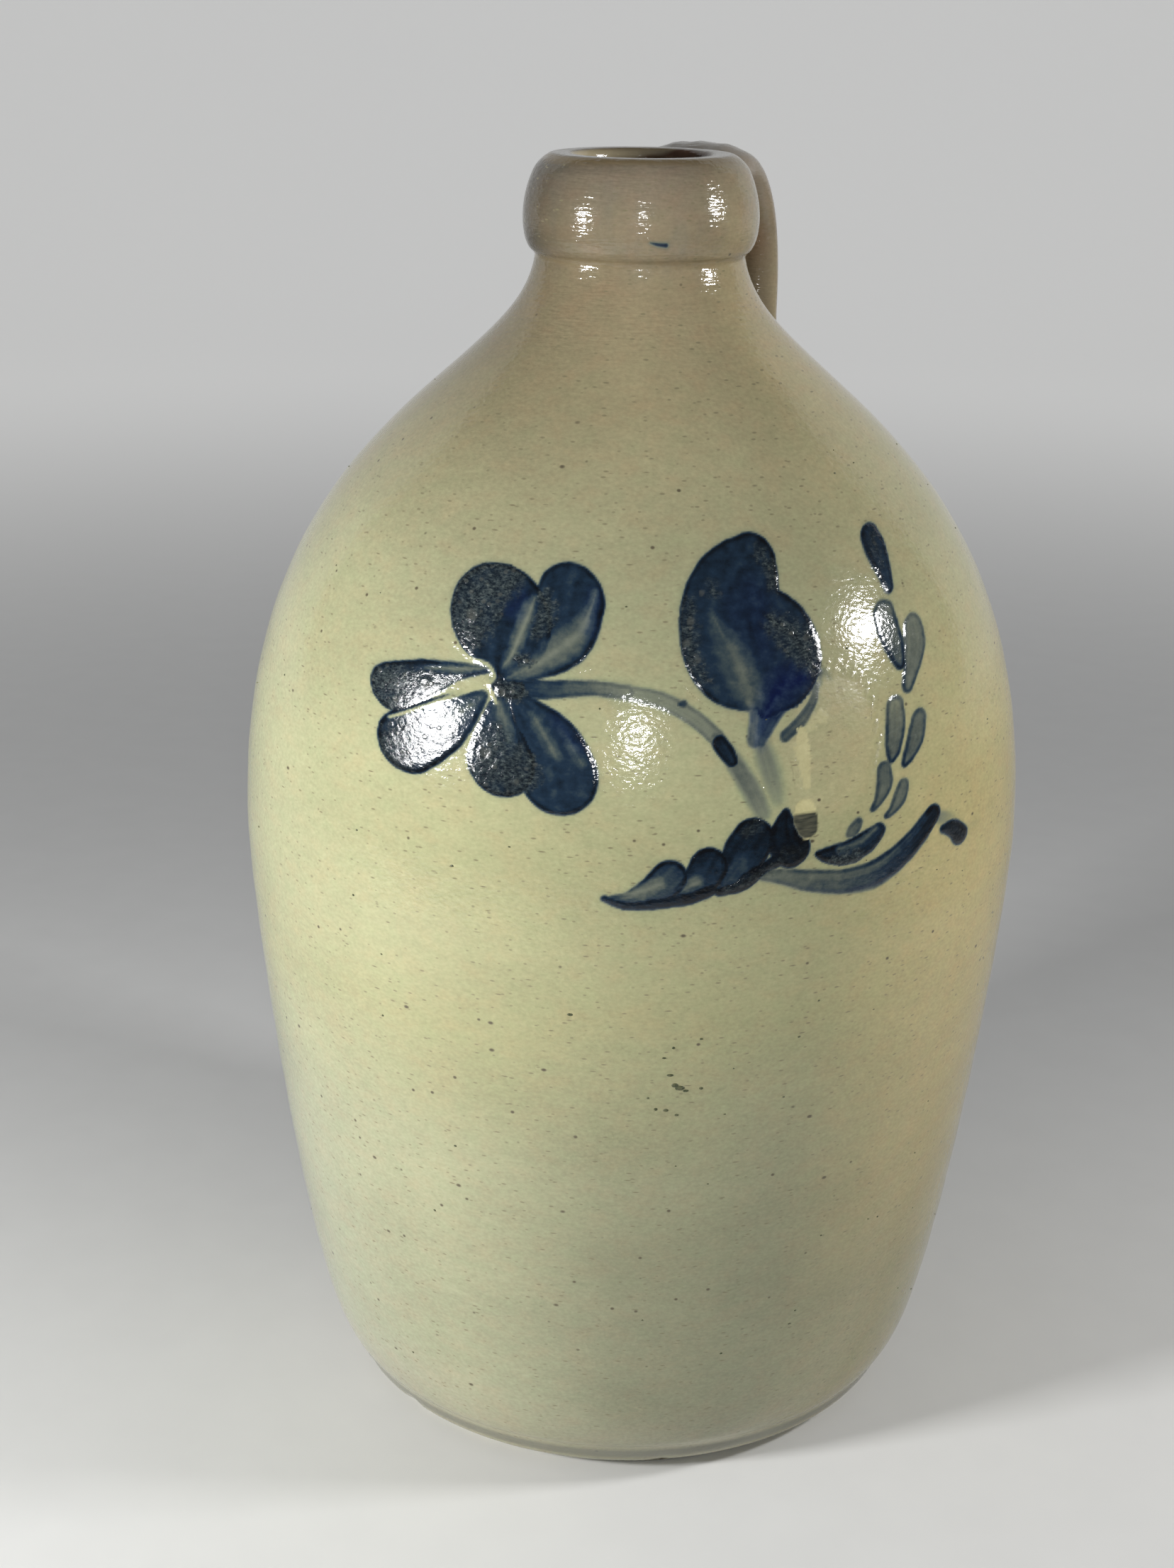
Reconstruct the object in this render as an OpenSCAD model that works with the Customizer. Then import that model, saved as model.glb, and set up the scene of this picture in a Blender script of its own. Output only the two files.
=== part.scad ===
// Salt-glazed stoneware jug: a thrown body with a tooled collar, a pulled strap handle,
// a thin slip lining and blue slip flowers brushed on the front.
// The jug stands on z = 0 along Z, its handle lies towards +Y and its flowers face -Y.

/* [Body] */
// Height from the floor to the rim
jug_h = 283; // [268:1:300]
// Radius of the flat underside
foot_r = 61; // [57:0.5:65]
// How far the side swells out over the thickness of the bottom
foot_swell = 7.5; // [5.5:0.5:9.5]
// Radius of the belly, the widest part of the jug
belly_r = 88.2; // [84:0.2:94]
// Height of the belly above the floor
belly_z = 137; // [125:1:148]
// Radius of the neck under the collar
neck_r = 22.6; // [21.4:0.2:25]
// Thickness of the wall
wall_t = 7; // [5:0.5:8]
// Thickness of the bottom
bottom_t = 9; // [7:0.5:11]
// Reach of the rounding between the bottom and the wall, inside
corner_reach = 14; // [8:1:20]

/* [Collar] */
// Height of the collar
collar_h = 21; // [17:0.5:24]
// Radius of the collar at its fullest
collar_r = 25.4; // [25.2:0.2:29]
// Radius of the top of the rim, where its outer edge starts to round over
rim_r = 18.8; // [17.4:0.2:20]
// Radius of the mouth, a plain bore for a cork
bore_r = 14.3; // [12:0.1:15]
// Rounding of the mouth's edge
mouth_round = 1.8; // [1:0.2:2.4]

/* [Handle] */
// Distance from the jug's axis to the middle of the grip
grip_reach = 51.6; // [48:0.4:56]
// Height of the grip's straight part below the rim
grip_drop = 38; // [32:1:42]
// Width of the strap
strap_w = 26.5; // [22:0.5:32]
// Thickness of the strap at the grip
strap_t = 8.9; // [7:0.1:11]
// Extra clay smoothed round the upper end of the strap
upper_join_t = 2.6; // [1.6:0.2:3.6]
// Extra clay smoothed round the lower end of the strap
lower_join_t = 1.8; // [1.2:0.2:2.6]
// Radius of the thumb that pressed the lower end down
thumb_r = 13; // [10:0.5:16]
// Depth of the thumb print
thumb_depth = 1.6; // [0.8:0.2:2.4]

/* [Slip] */
// Thickness of the brown slip that lines the inside
lining_t = 0.4; // [0.3:0.1:0.8]
// Thickness of the blue slip on the front
slip_t = 0.5; // [0.4:0.1:1]
// Reach of the big flower's petals, which the whole spray is drawn to
flower_size = 25; // [21:0.5:27]

/* [Hidden] */
$fn = 96;

neck_z = jug_h - collar_h;
past = jug_h / 2;

// The side of the jug is two curves that meet at the belly.
foot_curve_shares = [0.43, 0.05, 0.155];
shoulder_curve_shares = [0.7235, 0.055, 0.218];
wall_foot = [foot_r + foot_swell, bottom_t];
belly_edge = [belly_r, belly_z];
neck_top = [neck_r, neck_z];
lower_curve = [
    wall_foot,
    [
        wall_foot.x + foot_curve_shares[0] * (belly_edge.x - wall_foot.x),
        wall_foot.y + foot_curve_shares[1] * (belly_edge.y - wall_foot.y)
    ],
    [belly_edge.x, belly_edge.y - foot_curve_shares[2] * (belly_edge.y - wall_foot.y)],
    belly_edge
];
upper_curve = [
    belly_edge,
    [belly_edge.x, belly_edge.y + shoulder_curve_shares[0] * (neck_top.y - belly_edge.y)],
    [
        neck_top.x + shoulder_curve_shares[1] * (belly_edge.x - neck_top.x),
        neck_top.y - shoulder_curve_shares[2] * (neck_top.y - belly_edge.y)
    ],
    neck_top
];

// Steps up the side, and the steps where one course of the wall ends and the next begins
lower_steps = 10;
upper_steps = 20;
corner_steps = 2;
belly_steps = 6;
shoulder_steps = 13;
closing_steps = 19;
neck_steps = 26;
top_steps = lower_steps + upper_steps;
curve_steps = 6;

function bezier(p, t) =
    pow(1 - t, 3) * p[0] + 3 * t * pow(1 - t, 2) * p[1]
    + 3 * t * t * (1 - t) * p[2] + pow(t, 3) * p[3];
function bezier_run(p, t) =
    pow(1 - t, 2) * (p[1] - p[0]) + 2 * t * (1 - t) * (p[2] - p[1]) + t * t * (p[3] - p[2]);
function bezier_line(p, n) = [for (i = [0 : n]) bezier(p, i / n)];
function backwards(list) = [for (i = [len(list) - 1 : -1 : 0]) list[i]];
function right_of(run) = [run.y, -run.x] / norm(run);

function on_wall(k) =
    k <= lower_steps
    ? bezier(lower_curve, k / lower_steps)
    : bezier(upper_curve, (k - lower_steps) / upper_steps);
function along_wall(k) =
    k <= lower_steps
    ? bezier_run(lower_curve, k / lower_steps)
    : bezier_run(upper_curve, (k - lower_steps) / upper_steps);
function off_wall(k, out) = on_wall(k) + out * right_of(along_wall(k));
function wall_line(k0, k1, out) = [for (k = [k0 : k1]) off_wall(k, out)];

// The inside: a rounded corner at the bottom and a funnel up to the mouth.
corner_start = off_wall(corner_steps, -wall_t);
corner_pull_share = 0.7;
corner_run = along_wall(corner_steps) / norm(along_wall(corner_steps));
corner_curve = [
    [corner_start.x - corner_reach, bottom_t],
    [corner_start.x - (1 - corner_pull_share) * corner_reach, bottom_t],
    corner_start - (1 - corner_pull_share) * corner_reach * corner_run,
    corner_start
];
funnel_start = off_wall(neck_steps, -wall_t);
funnel_run = along_wall(neck_steps) / norm(along_wall(neck_steps));
funnel_pull_share = 0.5;
funnel_pull = funnel_pull_share * (neck_z - funnel_start.y);
funnel_curve = [
    funnel_start,
    funnel_start + funnel_pull * funnel_run,
    [bore_r, neck_z - funnel_pull],
    [bore_r, neck_z]
];
lining_top_share = 0.85;

module turned(points) {
    rotate_extrude()
        polygon(points);
}

// The bottom: a chamfered edge, a bead and a shallow hollow, as shares of foot_swell and bottom_t
foot_shares = [
    [0, 0], [0.21, 0.2], [0.45, 0.29], [0.67, 0.44], [0.8, 0.64], [0.87, 0.82], [1, 1]
];
foot_line = [for (s = foot_shares) [foot_r + s.x * foot_swell, s.y * bottom_t]];

module bottom() {
    color("tan")
        turned(concat([[0, 0]], foot_line, [[0, bottom_t]]));
}

// A course of the wall between two of the steps up the side
module course(k0, k1) {
    turned(concat(
        wall_line(k0, k1, 0),
        backwards(wall_line(k0, k1, -wall_t))
    ));
}

module heel() {
    color("wheat")
        turned(concat(
            wall_line(0, corner_steps, 0),
            backwards(bezier_line(corner_curve, curve_steps))
        ));
}

module lower_wall() {
    color("burlywood")
        course(corner_steps, belly_steps);
}

module belly() {
    color("wheat")
        course(belly_steps, shoulder_steps);
}

module shoulder() {
    color("burlywood")
        course(shoulder_steps, closing_steps);
}

module upper_shoulder() {
    color("wheat")
        course(closing_steps, neck_steps);
}

module neck() {
    color("burlywood")
        turned(concat(
            wall_line(neck_steps, top_steps, 0),
            backwards(bezier_line(funnel_curve, curve_steps))
        ));
}

// The collar's side and top, as shares of how far it stands out and of its height
collar_side_shares = [[0.21, 0.04], [1.07, 0.105], [1.36, 0.476], [0.21, 0.82]];
collar_top_shares = [[0.15, 0.9], [0.3, 1]];
collar_out = collar_r - neck_r;
collar_side = [for (s = collar_side_shares) [neck_r + s.x * collar_out, neck_z + s.y * collar_h]];
collar_top = [
    collar_side[3],
    [
        collar_side[3].x - collar_top_shares[0].x * (collar_side[3].x - rim_r),
        neck_z + collar_top_shares[0].y * collar_h
    ],
    [rim_r + collar_top_shares[1].x * (collar_side[3].x - rim_r), jug_h],
    [rim_r, jug_h]
];
mouth_line = [
    for (i = [0 : curve_steps])
        let (a = 90 * (1 + i / curve_steps))
        [bore_r + mouth_round * (1 + cos(a)), jug_h - mouth_round * (1 - sin(a))]
];
collar_line = concat(
    [neck_top],
    bezier_line(collar_side, curve_steps),
    [for (i = [1 : curve_steps]) bezier(collar_top, i / curve_steps)]
);

module collar() {
    color("wheat")
        turned(concat([[bore_r, neck_z]], collar_line, mouth_line));
}

// The whole outside as one mass, which the handle's ends are cut back to
module outer_mass() {
    turned(concat(
        [[0, 0]], foot_line,
        wall_line(1, top_steps - 1, 0),
        collar_line, [[0, jug_h]]
    ));
}

module slip_lining() {
    lining_corner = backwards(bezier_line(corner_curve, curve_steps));
    lining_wall = wall_line(corner_steps + 1, neck_steps - 1, -wall_t);
    inner_wall = wall_line(corner_steps + 1, neck_steps - 1, -wall_t - lining_t);
    funnel = [
        for (i = [0 : curve_steps]) bezier(funnel_curve, lining_top_share * i / curve_steps)
    ];
    inner_funnel = [
        for (i = [0 : curve_steps])
            let (t = lining_top_share * i / curve_steps)
            bezier(funnel_curve, t) - lining_t * right_of(bezier_run(funnel_curve, t))
    ];
    inner_corner = [
        for (i = [0 : curve_steps])
            let (t = i / curve_steps)
            bezier(corner_curve, t) - lining_t * right_of(bezier_run(corner_curve, t))
    ];
    color("saddlebrown")
        turned(concat(
            [[0, bottom_t]], backwards(lining_corner), lining_wall, funnel,
            backwards(inner_funnel), backwards(inner_wall), backwards(inner_corner),
            [[0, bottom_t + lining_t]]
        ));
}

// Rows of numbers, run smoothly from one to the next
function smooth_row(rows, i, t) =
    let (
        n = len(rows) - 1,
        a = rows[max(i - 1, 0)], b = rows[i], c = rows[min(i + 1, n)], d = rows[min(i + 2, n)]
    )
    b + t / 2 * (c - a + t * (2 * a - 5 * b + 4 * c - d + t * (3 * b - a - 3 * c + d)));
function smooth_rows(rows, steps) = concat(
    [for (i = [0 : len(rows) - 2], j = [0 : steps - 1]) smooth_row(rows, i, j / steps)],
    [rows[len(rows) - 1]]
);

// The strap leaves the collar, bends over the grip and runs down on to the shoulder.
strap_root_shares = [0.709, 0.3];
strap_root_pull_shares = [0.23, 0.8];
strap_crest_shares = [1.055, 0.1];
strap_root = [strap_root_shares[0] * collar_r, neck_z + strap_root_shares[1] * collar_h];
grip = [grip_reach, jug_h - grip_drop];
strap_rise = [
    strap_root + [strap_root_pull_shares[0] * grip_reach, strap_root_pull_shares[1] * collar_h],
    [strap_crest_shares[0] * grip.x, jug_h - strap_crest_shares[1] * grip_drop]
];
tail_steps = 17.1;
tail_pull_share = 0.6;
tail_sink_share = 0.16;
grip_pull_share = 0.3;
tail = off_wall(tail_steps, -tail_sink_share * strap_t);
tail_run = along_wall(tail_steps) / norm(along_wall(tail_steps));
tail_drop = grip.y - tail.y;
over_curve = [strap_root, strap_rise[0], strap_rise[1], grip];
down_curve = [
    grip,
    grip - [0, grip_pull_share * tail_drop],
    tail + tail_pull_share * tail_drop * tail_run,
    tail
];
strap_rings = 30;
strap_sides = 16;
strap_square = 2.3;
// Width and thickness down the strap, as shares of strap_w and strap_t
strap_shares = [
    [1.08, 1.4], [0.98, 1.26], [0.95, 1.12], [0.98, 1.04], [1, 1],
    [1, 0.98], [1.01, 0.95], [1.06, 0.8], [0.86, 0.3]
];

function strap_at(u) = u < 0.5 ? bezier(over_curve, 2 * u) : bezier(down_curve, 2 * u - 1);
function strap_run(u) = u < 0.5 ? bezier_run(over_curve, 2 * u) : bezier_run(down_curve, 2 * u - 1);
function strap_size(u) =
    let (k = u * (len(strap_shares) - 1), i = min(floor(k), len(strap_shares) - 2))
    smooth_row(strap_shares, i, k - i);
function rounded(value) = sign(value) * pow(abs(value), 2 / strap_square);

// The strap between two of its rings, thickened by skins at its start, middle and end
module strap(first, last, skins = [0, 0, 0]) {
    rings = last - first;
    points = [
        for (i = [0 : rings], j = [0 : strap_sides - 1])
            let (
                u = (first + i) / strap_rings,
                t = i / rings,
                skin = (1 - t) * (1 - t) * skins[0] + 2 * t * (1 - t) * skins[1] + t * t * skins[2],
                size = strap_size(u),
                a = 360 * j / strap_sides,
                across = rounded(cos(a)) * (size[0] * strap_w / 2 + skin),
                up = rounded(sin(a)) * (size[1] * strap_t / 2 + skin),
                at = strap_at(u) - up * right_of(strap_run(u))
            )
            [across, at.x, at.y]
    ];
    ends = [
        [for (j = [strap_sides - 1 : -1 : 0]) j],
        [for (j = [0 : strap_sides - 1]) rings * strap_sides + j]
    ];
    sides = [
        for (i = [0 : rings - 1], j = [0 : strap_sides - 1])
            let (
                a = i * strap_sides + j,
                b = i * strap_sides + (j + 1) % strap_sides,
                c = b + strap_sides,
                d = a + strap_sides
            )
            each [[a, b, c], [a, c, d]]
    ];
    polyhedron(points, concat(ends, sides));
}

thumb_share = 0.85;
thumb_place = strap_at(thumb_share);
thumb_out = -right_of(strap_run(thumb_share));
thumb_lift = thumb_r - thumb_depth + strap_size(thumb_share)[1] * strap_t / 2;

module thumb() {
    at = thumb_place + thumb_lift * thumb_out;
    translate([0, at.x, at.y])
        sphere(thumb_r);
}

module strap_handle() {
    color("tan")
        difference() {
            strap(0, strap_rings);
            outer_mass();
            thumb();
        }
}

join_rings = 7;
join_edge_t = 0.4;
upper_skins = [upper_join_t, (upper_join_t + join_edge_t) / 2, join_edge_t];
lower_skins = [join_edge_t, 2 * lower_join_t - join_edge_t, join_edge_t];

module upper_join() {
    color("burlywood")
        difference() {
            strap(0, join_rings, upper_skins);
            strap(0, strap_rings);
            outer_mass();
        }
}

module lower_join() {
    color("burlywood")
        difference() {
            strap(strap_rings - join_rings, strap_rings, lower_skins);
            strap(0, strap_rings);
            outer_mass();
            thumb();
        }
}

// Each brush stroke is a spine whose rows are shares of the flower's size:
// across, up and half the stroke's width.
stroke_steps = 2;
cap_steps = 4;

function heading(rows, i) =
    let (
        a = rows[max(i - 1, 0)],
        b = rows[min(i + 1, len(rows) - 1)]
    )
    atan2(b.y - a.y, b.x - a.x);
function beside(row, angle) = [row.x, row.y] + row.z * [cos(angle), sin(angle)];

module stroke(shares, size) {
    rows = smooth_rows(size * shares, stroke_steps);
    last = len(rows) - 1;
    polygon(concat(
        [for (i = [0 : last]) beside(rows[i], heading(rows, i) + 90)],
        [for (i = [1 : cap_steps - 1]) beside(rows[last], heading(rows, last) + 90 - 180 * i / cap_steps)],
        [for (i = [last : -1 : 0]) beside(rows[i], heading(rows, i) - 90)],
        [for (i = [1 : cap_steps - 1]) beside(rows[0], heading(rows, 0) - 90 - 180 * i / cap_steps)]
    ));
}

module strokes(list) {
    for (shares = list)
        stroke(shares, flower_size);
}

petal_shares = [
    [[-1.42, 0.07, 0.03], [-1.4, 0.18, 0.13], [-1.37, 0.31, 0.28], [-1.37, 0.45, 0.39]],
    [[-1.37, 0.03, 0.04], [-1.13, 0.17, 0.14], [-0.93, 0.37, 0.24], [-0.85, 0.6, 0.26]],
    [[-1.5, 0.06, 0.03], [-1.76, 0.01, 0.07], [-1.97, -0.07, 0.13], [-2.22, -0.19, 0.18]],
    [[-1.63, -0.18, 0.07], [-1.76, -0.3, 0.15], [-1.92, -0.43, 0.21], [-2.11, -0.56, 0.23]],
    [[-1.41, -0.13, 0.05], [-1.43, -0.3, 0.12], [-1.42, -0.46, 0.2], [-1.41, -0.61, 0.26]],
    [[-1.32, -0.1, 0.05], [-1.18, -0.26, 0.15], [-1.04, -0.46, 0.25], [-0.98, -0.67, 0.3]]
];
eye_shares = [[[-1.44, -0.04, 0.06], [-1.35, -0.06, 0.08], [-1.28, -0.06, 0.07]]];
stem_shares = [[
    [-1.29, -0.05, 0.07], [-1.06, -0.04, 0.07], [-0.74, -0.01, 0.06], [-0.45, -0.03, 0.06],
    [-0.21, -0.08, 0.07], [0.05, -0.21, 0.07], [0.23, -0.36, 0.07], [0.4, -0.6, 0.08],
    [0.52, -0.8, 0.08], [0.6, -0.96, 0.07]
]];
bud_shares = [
    [
        [0.55, -0.12, 0.07], [0.45, 0.03, 0.21], [0.37, 0.22, 0.34],
        [0.34, 0.42, 0.36], [0.42, 0.67, 0.31], [0.57, 0.86, 0.2]
    ],
    [[0.62, -0.13, 0.07], [0.7, -0.01, 0.2], [0.79, 0.13, 0.3], [0.84, 0.32, 0.28]]
];
stalk_shares = [
    [[0.59, -0.09, 0.12], [0.57, -0.23, 0.08], [0.55, -0.39, 0.08]],
    [[1.06, -0.05, 0.03], [1.02, -0.17, 0.04], [0.92, -0.29, 0.05], [0.79, -0.39, 0.05]]
];
frond_shares = [
    [[1.64, 0.92, 0.09], [1.68, 0.83, 0.1], [1.73, 0.7, 0.08], [1.77, 0.55, 0.05]],
    [[1.7, 0.37, 0.11], [1.73, 0.26, 0.11], [1.79, 0.11, 0.09], [1.83, -0.01, 0.05]],
    [[1.97, 0.23, 0.1], [1.98, 0.1, 0.12], [1.94, -0.05, 0.09], [1.89, -0.18, 0.06]],
    [[1.76, -0.31, 0.09], [1.76, -0.46, 0.1], [1.74, -0.62, 0.08], [1.72, -0.7, 0.04]],
    [[1.99, -0.45, 0.08], [1.96, -0.58, 0.09], [1.9, -0.69, 0.07], [1.85, -0.76, 0.04]],
    [[1.65, -0.77, 0.07], [1.65, -0.89, 0.08], [1.6, -1, 0.05], [1.55, -1.06, 0.03]],
    [[1.83, -0.93, 0.06], [1.8, -1.02, 0.07], [1.74, -1.1, 0.05], [1.68, -1.14, 0.03]],
    [[1.42, -1.14, 0.04], [1.38, -1.19, 0.06], [1.34, -1.22, 0.04]]
];
sprig_leaf_shares = [
    [[-0.59, -1.61, 0.03], [-0.44, -1.62, 0.08], [-0.28, -1.56, 0.13], [-0.14, -1.44, 0.15]],
    [[-0.05, -1.56, 0.07], [0.05, -1.51, 0.12], [0.13, -1.43, 0.15], [0.17, -1.36, 0.16]],
    [[0.29, -1.52, 0.05], [0.37, -1.41, 0.11], [0.45, -1.28, 0.18], [0.52, -1.17, 0.18]],
    [[1.6, -1.25, 0.07], [1.49, -1.32, 0.1], [1.32, -1.37, 0.1], [1.17, -1.36, 0.07], [1.07, -1.34, 0.03]]
];
knot_shares = [
    [[0.79, -0.98, 0.04], [0.78, -1.09, 0.1], [0.8, -1.2, 0.16], [0.84, -1.26, 0.16]],
    [[0.26, -1.56, 0.04], [0.4, -1.53, 0.05], [0.49, -1.47, 0.07], [0.6, -1.4, 0.05], [0.76, -1.33, 0.06]]
];
curl_shares = [
    [
        [0.53, -1.46, 0.03], [0.71, -1.47, 0.06], [0.98, -1.53, 0.09], [1.29, -1.58, 0.1],
        [1.56, -1.57, 0.11], [1.78, -1.48, 0.11], [1.96, -1.36, 0.1], [2.12, -1.23, 0.09]
    ],
    [[2.17, -1.33, 0.04], [2.29, -1.4, 0.06], [2.43, -1.52, 0.09]]
];

// The spray is drawn flat, facing this turn, and laid on the side of the jug as a thin skin.
spray_turn = 30;
spray_z_share = 0.416;
spray_z = belly_z + spray_z_share * (neck_z - belly_z);
spray_low_steps = 7;
spray_high_steps = 23;

module slip_skin() {
    turned(concat(
        wall_line(spray_low_steps, spray_high_steps, 0),
        backwards(wall_line(spray_low_steps, spray_high_steps, slip_t))
    ));
}

module laid_on() {
    intersection() {
        slip_skin();
        rotate([0, 0, spray_turn])
            translate([0, 0, spray_z])
                rotate([90, 0, 0])
                    linear_extrude(past)
                        children();
    }
}

module blossom_petals() {
    color("navy")
        laid_on()
            difference() {
                strokes(petal_shares);
                strokes(eye_shares);
            }
}

module blossom_eye() {
    color("midnightblue")
        laid_on()
            strokes(eye_shares);
}

module blossom_stem() {
    color("slategray")
        laid_on()
            difference() {
                strokes(stem_shares);
                strokes(petal_shares);
                strokes(eye_shares);
                strokes(sprig_leaf_shares);
                strokes(knot_shares);
            }
}

module bud() {
    color("navy")
        laid_on()
            strokes(bud_shares);
}

module bud_stalk() {
    color("slateblue")
        laid_on()
            difference() {
                strokes(stalk_shares);
                strokes(bud_shares);
                strokes(stem_shares);
            }
}

module frond() {
    color("slategray")
        laid_on()
            strokes(frond_shares);
}

module sprig_leaves() {
    color("navy")
        laid_on()
            difference() {
                strokes(sprig_leaf_shares);
                strokes(knot_shares);
            }
}

module sprig_knot() {
    color("midnightblue")
        laid_on()
            strokes(knot_shares);
}

module sprig_curl() {
    color("slategray")
        laid_on()
            difference() {
                strokes(curl_shares);
                strokes(sprig_leaf_shares);
                strokes(knot_shares);
            }
}

// A dab of blue slip that fell on the collar
dab_turn = 32;
dab_z_share = 0.22;
dab_shares = [[-1, 0.1, 0.12], [-0.2, 0, 0.2], [0.7, -0.1, 0.2]];
dab_size = flower_size / 10;

module collar_dab() {
    color("midnightblue")
        intersection() {
            turned(concat(
                bezier_line(collar_side, curve_steps),
                backwards([
                    for (i = [0 : curve_steps])
                        bezier(collar_side, i / curve_steps)
                        + slip_t / 2 * right_of(bezier_run(collar_side, i / curve_steps))
                ])
            ));
            rotate([0, 0, dab_turn])
                translate([0, 0, neck_z + dab_z_share * collar_h])
                    rotate([90, 0, 0])
                        linear_extrude(past)
                            stroke(dab_shares, dab_size);
        }
}

bottom();
heel();
lower_wall();
belly();
shoulder();
upper_shoulder();
neck();
collar();
strap_handle();
upper_join();
lower_join();
slip_lining();
blossom_petals();
blossom_eye();
blossom_stem();
bud();
bud_stalk();
frond();
sprig_leaves();
sprig_knot();
sprig_curl();
collar_dab();
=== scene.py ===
import bpy
import bmesh
import math
import random
import numpy as np
from mathutils import Matrix, Vector, noise


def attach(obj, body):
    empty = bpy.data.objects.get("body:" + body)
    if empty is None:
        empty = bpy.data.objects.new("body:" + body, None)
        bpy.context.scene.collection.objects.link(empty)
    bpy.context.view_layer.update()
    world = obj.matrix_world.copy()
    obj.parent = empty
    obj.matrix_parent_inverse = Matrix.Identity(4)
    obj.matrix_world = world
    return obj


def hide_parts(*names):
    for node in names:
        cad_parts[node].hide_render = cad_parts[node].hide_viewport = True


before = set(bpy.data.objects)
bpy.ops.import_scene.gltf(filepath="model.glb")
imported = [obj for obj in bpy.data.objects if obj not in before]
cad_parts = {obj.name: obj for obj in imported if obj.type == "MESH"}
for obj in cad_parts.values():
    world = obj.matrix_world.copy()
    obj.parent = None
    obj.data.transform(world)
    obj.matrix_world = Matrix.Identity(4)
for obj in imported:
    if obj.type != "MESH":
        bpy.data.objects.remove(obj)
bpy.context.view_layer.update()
mm = 0.001
noise.seed_set(7)


# the thrown form, in millimetres; pulls and shares are parts of a curve's reach
jug = {
    "height": 283.0,
    "footRadius": 61.0,
    "footSwell": 7.5,
    "bellyRadius": 88.0,
    "bellyHeight": 137.0,
    "neckRadius": 22.6,
    "wall": 7.0,
    "bottom": 9.0,
    "corner": 14.0,
    "collarHeight": 21.0,
    "collarRadius": 25.4,
    "rimRadius": 18.8,
    "boreRadius": 14.3,
    "mouthRound": 1.8,
    "wobble": 0.1,
    # how the side sways: amount, waves round it, climb and shift
    "sways": [(0.5, 2, 0.013, 0.6), (0.3, 3, -0.031, 0), (0.2, 5, 0.047, 2.1)],
    "throwing": (0.35, 0.42, 0.7),
    "turns": 240,
    "undersideRings": (20, 40, 54, 59.5),
    "lowerPull": (0.43, 0.05, 0.155),
    "upperPull": (0.7235, 0.055, 0.218),
    "collarShares": ((0.21, 0.04), (1.07, 0.105), (1.36, 0.476), (0.21, 0.82)),
    "collarTopPull": (0.15, 0.9, 0.3),
    "footShares": ((0, 0), (0.04, 0.07), (0.21, 0.2), (0.45, 0.29), (0.67, 0.44),
                   (0.8, 0.64), (0.87, 0.82), (1, 1)),
    "funnelFrom": 0.8,
    "cornerFrom": 0.2,
    "cornerPull": 0.3,
}
neckHeight = jug["height"] - jug["collarHeight"]


def bezier(points, t):
    a, b, c, d = points
    return (1 - t) ** 3 * a + 3 * t * (1 - t) ** 2 * b + 3 * t * t * (1 - t) * c + t ** 3 * d


def bezierRun(points, t):
    a, b, c, d = points
    return ((1 - t) ** 2 * (b - a) + 2 * t * (1 - t) * (c - b) + t * t * (d - c)).normalized()


def bezierLine(points, count, first=0):
    return [bezier(points, i / count) for i in range(first, count + 1)]


def rightOf(run):
    return Vector((run.y, -run.x))


def smoothRow(rows, k):
    last = len(rows) - 1
    i = min(int(k), last - 1)
    t = k - i
    a, b, c, d = (rows[min(max(j, 0), last)] for j in (i - 1, i, i + 1, i + 2))
    return b + t / 2 * (c - a + t * (2 * a - 5 * b + 4 * c - d + t * (3 * b - a - 3 * c + d)))


wallFoot = Vector((jug["footRadius"] + jug["footSwell"], jug["bottom"]))
bellyEdge = Vector((jug["bellyRadius"], jug["bellyHeight"]))
neckTop = Vector((jug["neckRadius"], neckHeight))
pulls = jug["lowerPull"]
lowerCurve = [
    wallFoot,
    wallFoot + Vector((pulls[0] * (bellyEdge.x - wallFoot.x), pulls[1] * (bellyEdge.y - wallFoot.y))),
    bellyEdge - Vector((0, pulls[2] * (bellyEdge.y - wallFoot.y))),
    bellyEdge,
]
pulls = jug["upperPull"]
upperCurve = [
    bellyEdge,
    bellyEdge + Vector((0, pulls[0] * (neckTop.y - bellyEdge.y))),
    neckTop + Vector((pulls[1] * (bellyEdge.x - neckTop.x), -pulls[2] * (neckTop.y - bellyEdge.y))),
    neckTop,
]
collarOut = jug["collarRadius"] - jug["neckRadius"]
collarSide = [neckTop + Vector((x * collarOut, y * jug["collarHeight"])) for x, y in jug["collarShares"]]
rimEdge = Vector((jug["rimRadius"], jug["height"]))
rimReach = collarSide[3].x - rimEdge.x
pulls = jug["collarTopPull"]
collarTop = [
    collarSide[3],
    Vector((collarSide[3].x - pulls[0] * rimReach, neckHeight + pulls[1] * jug["collarHeight"])),
    rimEdge + Vector((pulls[2] * rimReach, 0)),
    rimEdge,
]
footShares = [Vector(share) for share in jug["footShares"]]
footLine = [Vector((jug["footRadius"] + share.x * jug["footSwell"], share.y * jug["bottom"]))
            for share in (smoothRow(footShares, k / 3) for k in range(3 * (len(footShares) - 1)))]


def outerLine():
    under = [Vector((r, 0)) for r in jug["undersideRings"]]
    lip = jug["mouthRound"]
    mouth = [Vector((jug["boreRadius"] + lip * (1 + math.cos(turn)), jug["height"] - lip * (1 - math.sin(turn))))
             for turn in (math.radians(90 + 90 * i / 8) for i in range(1, 9))]
    return ([Vector((0, 0))] + under + footLine + bezierLine(lowerCurve, 64) + bezierLine(upperCurve, 88, 1)
            + bezierLine(collarSide, 56) + bezierLine(collarTop, 12, 1) + mouth)


def beside(curve, t, out):
    return bezier(curve, t) + out * rightOf(bezierRun(curve, t))


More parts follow.
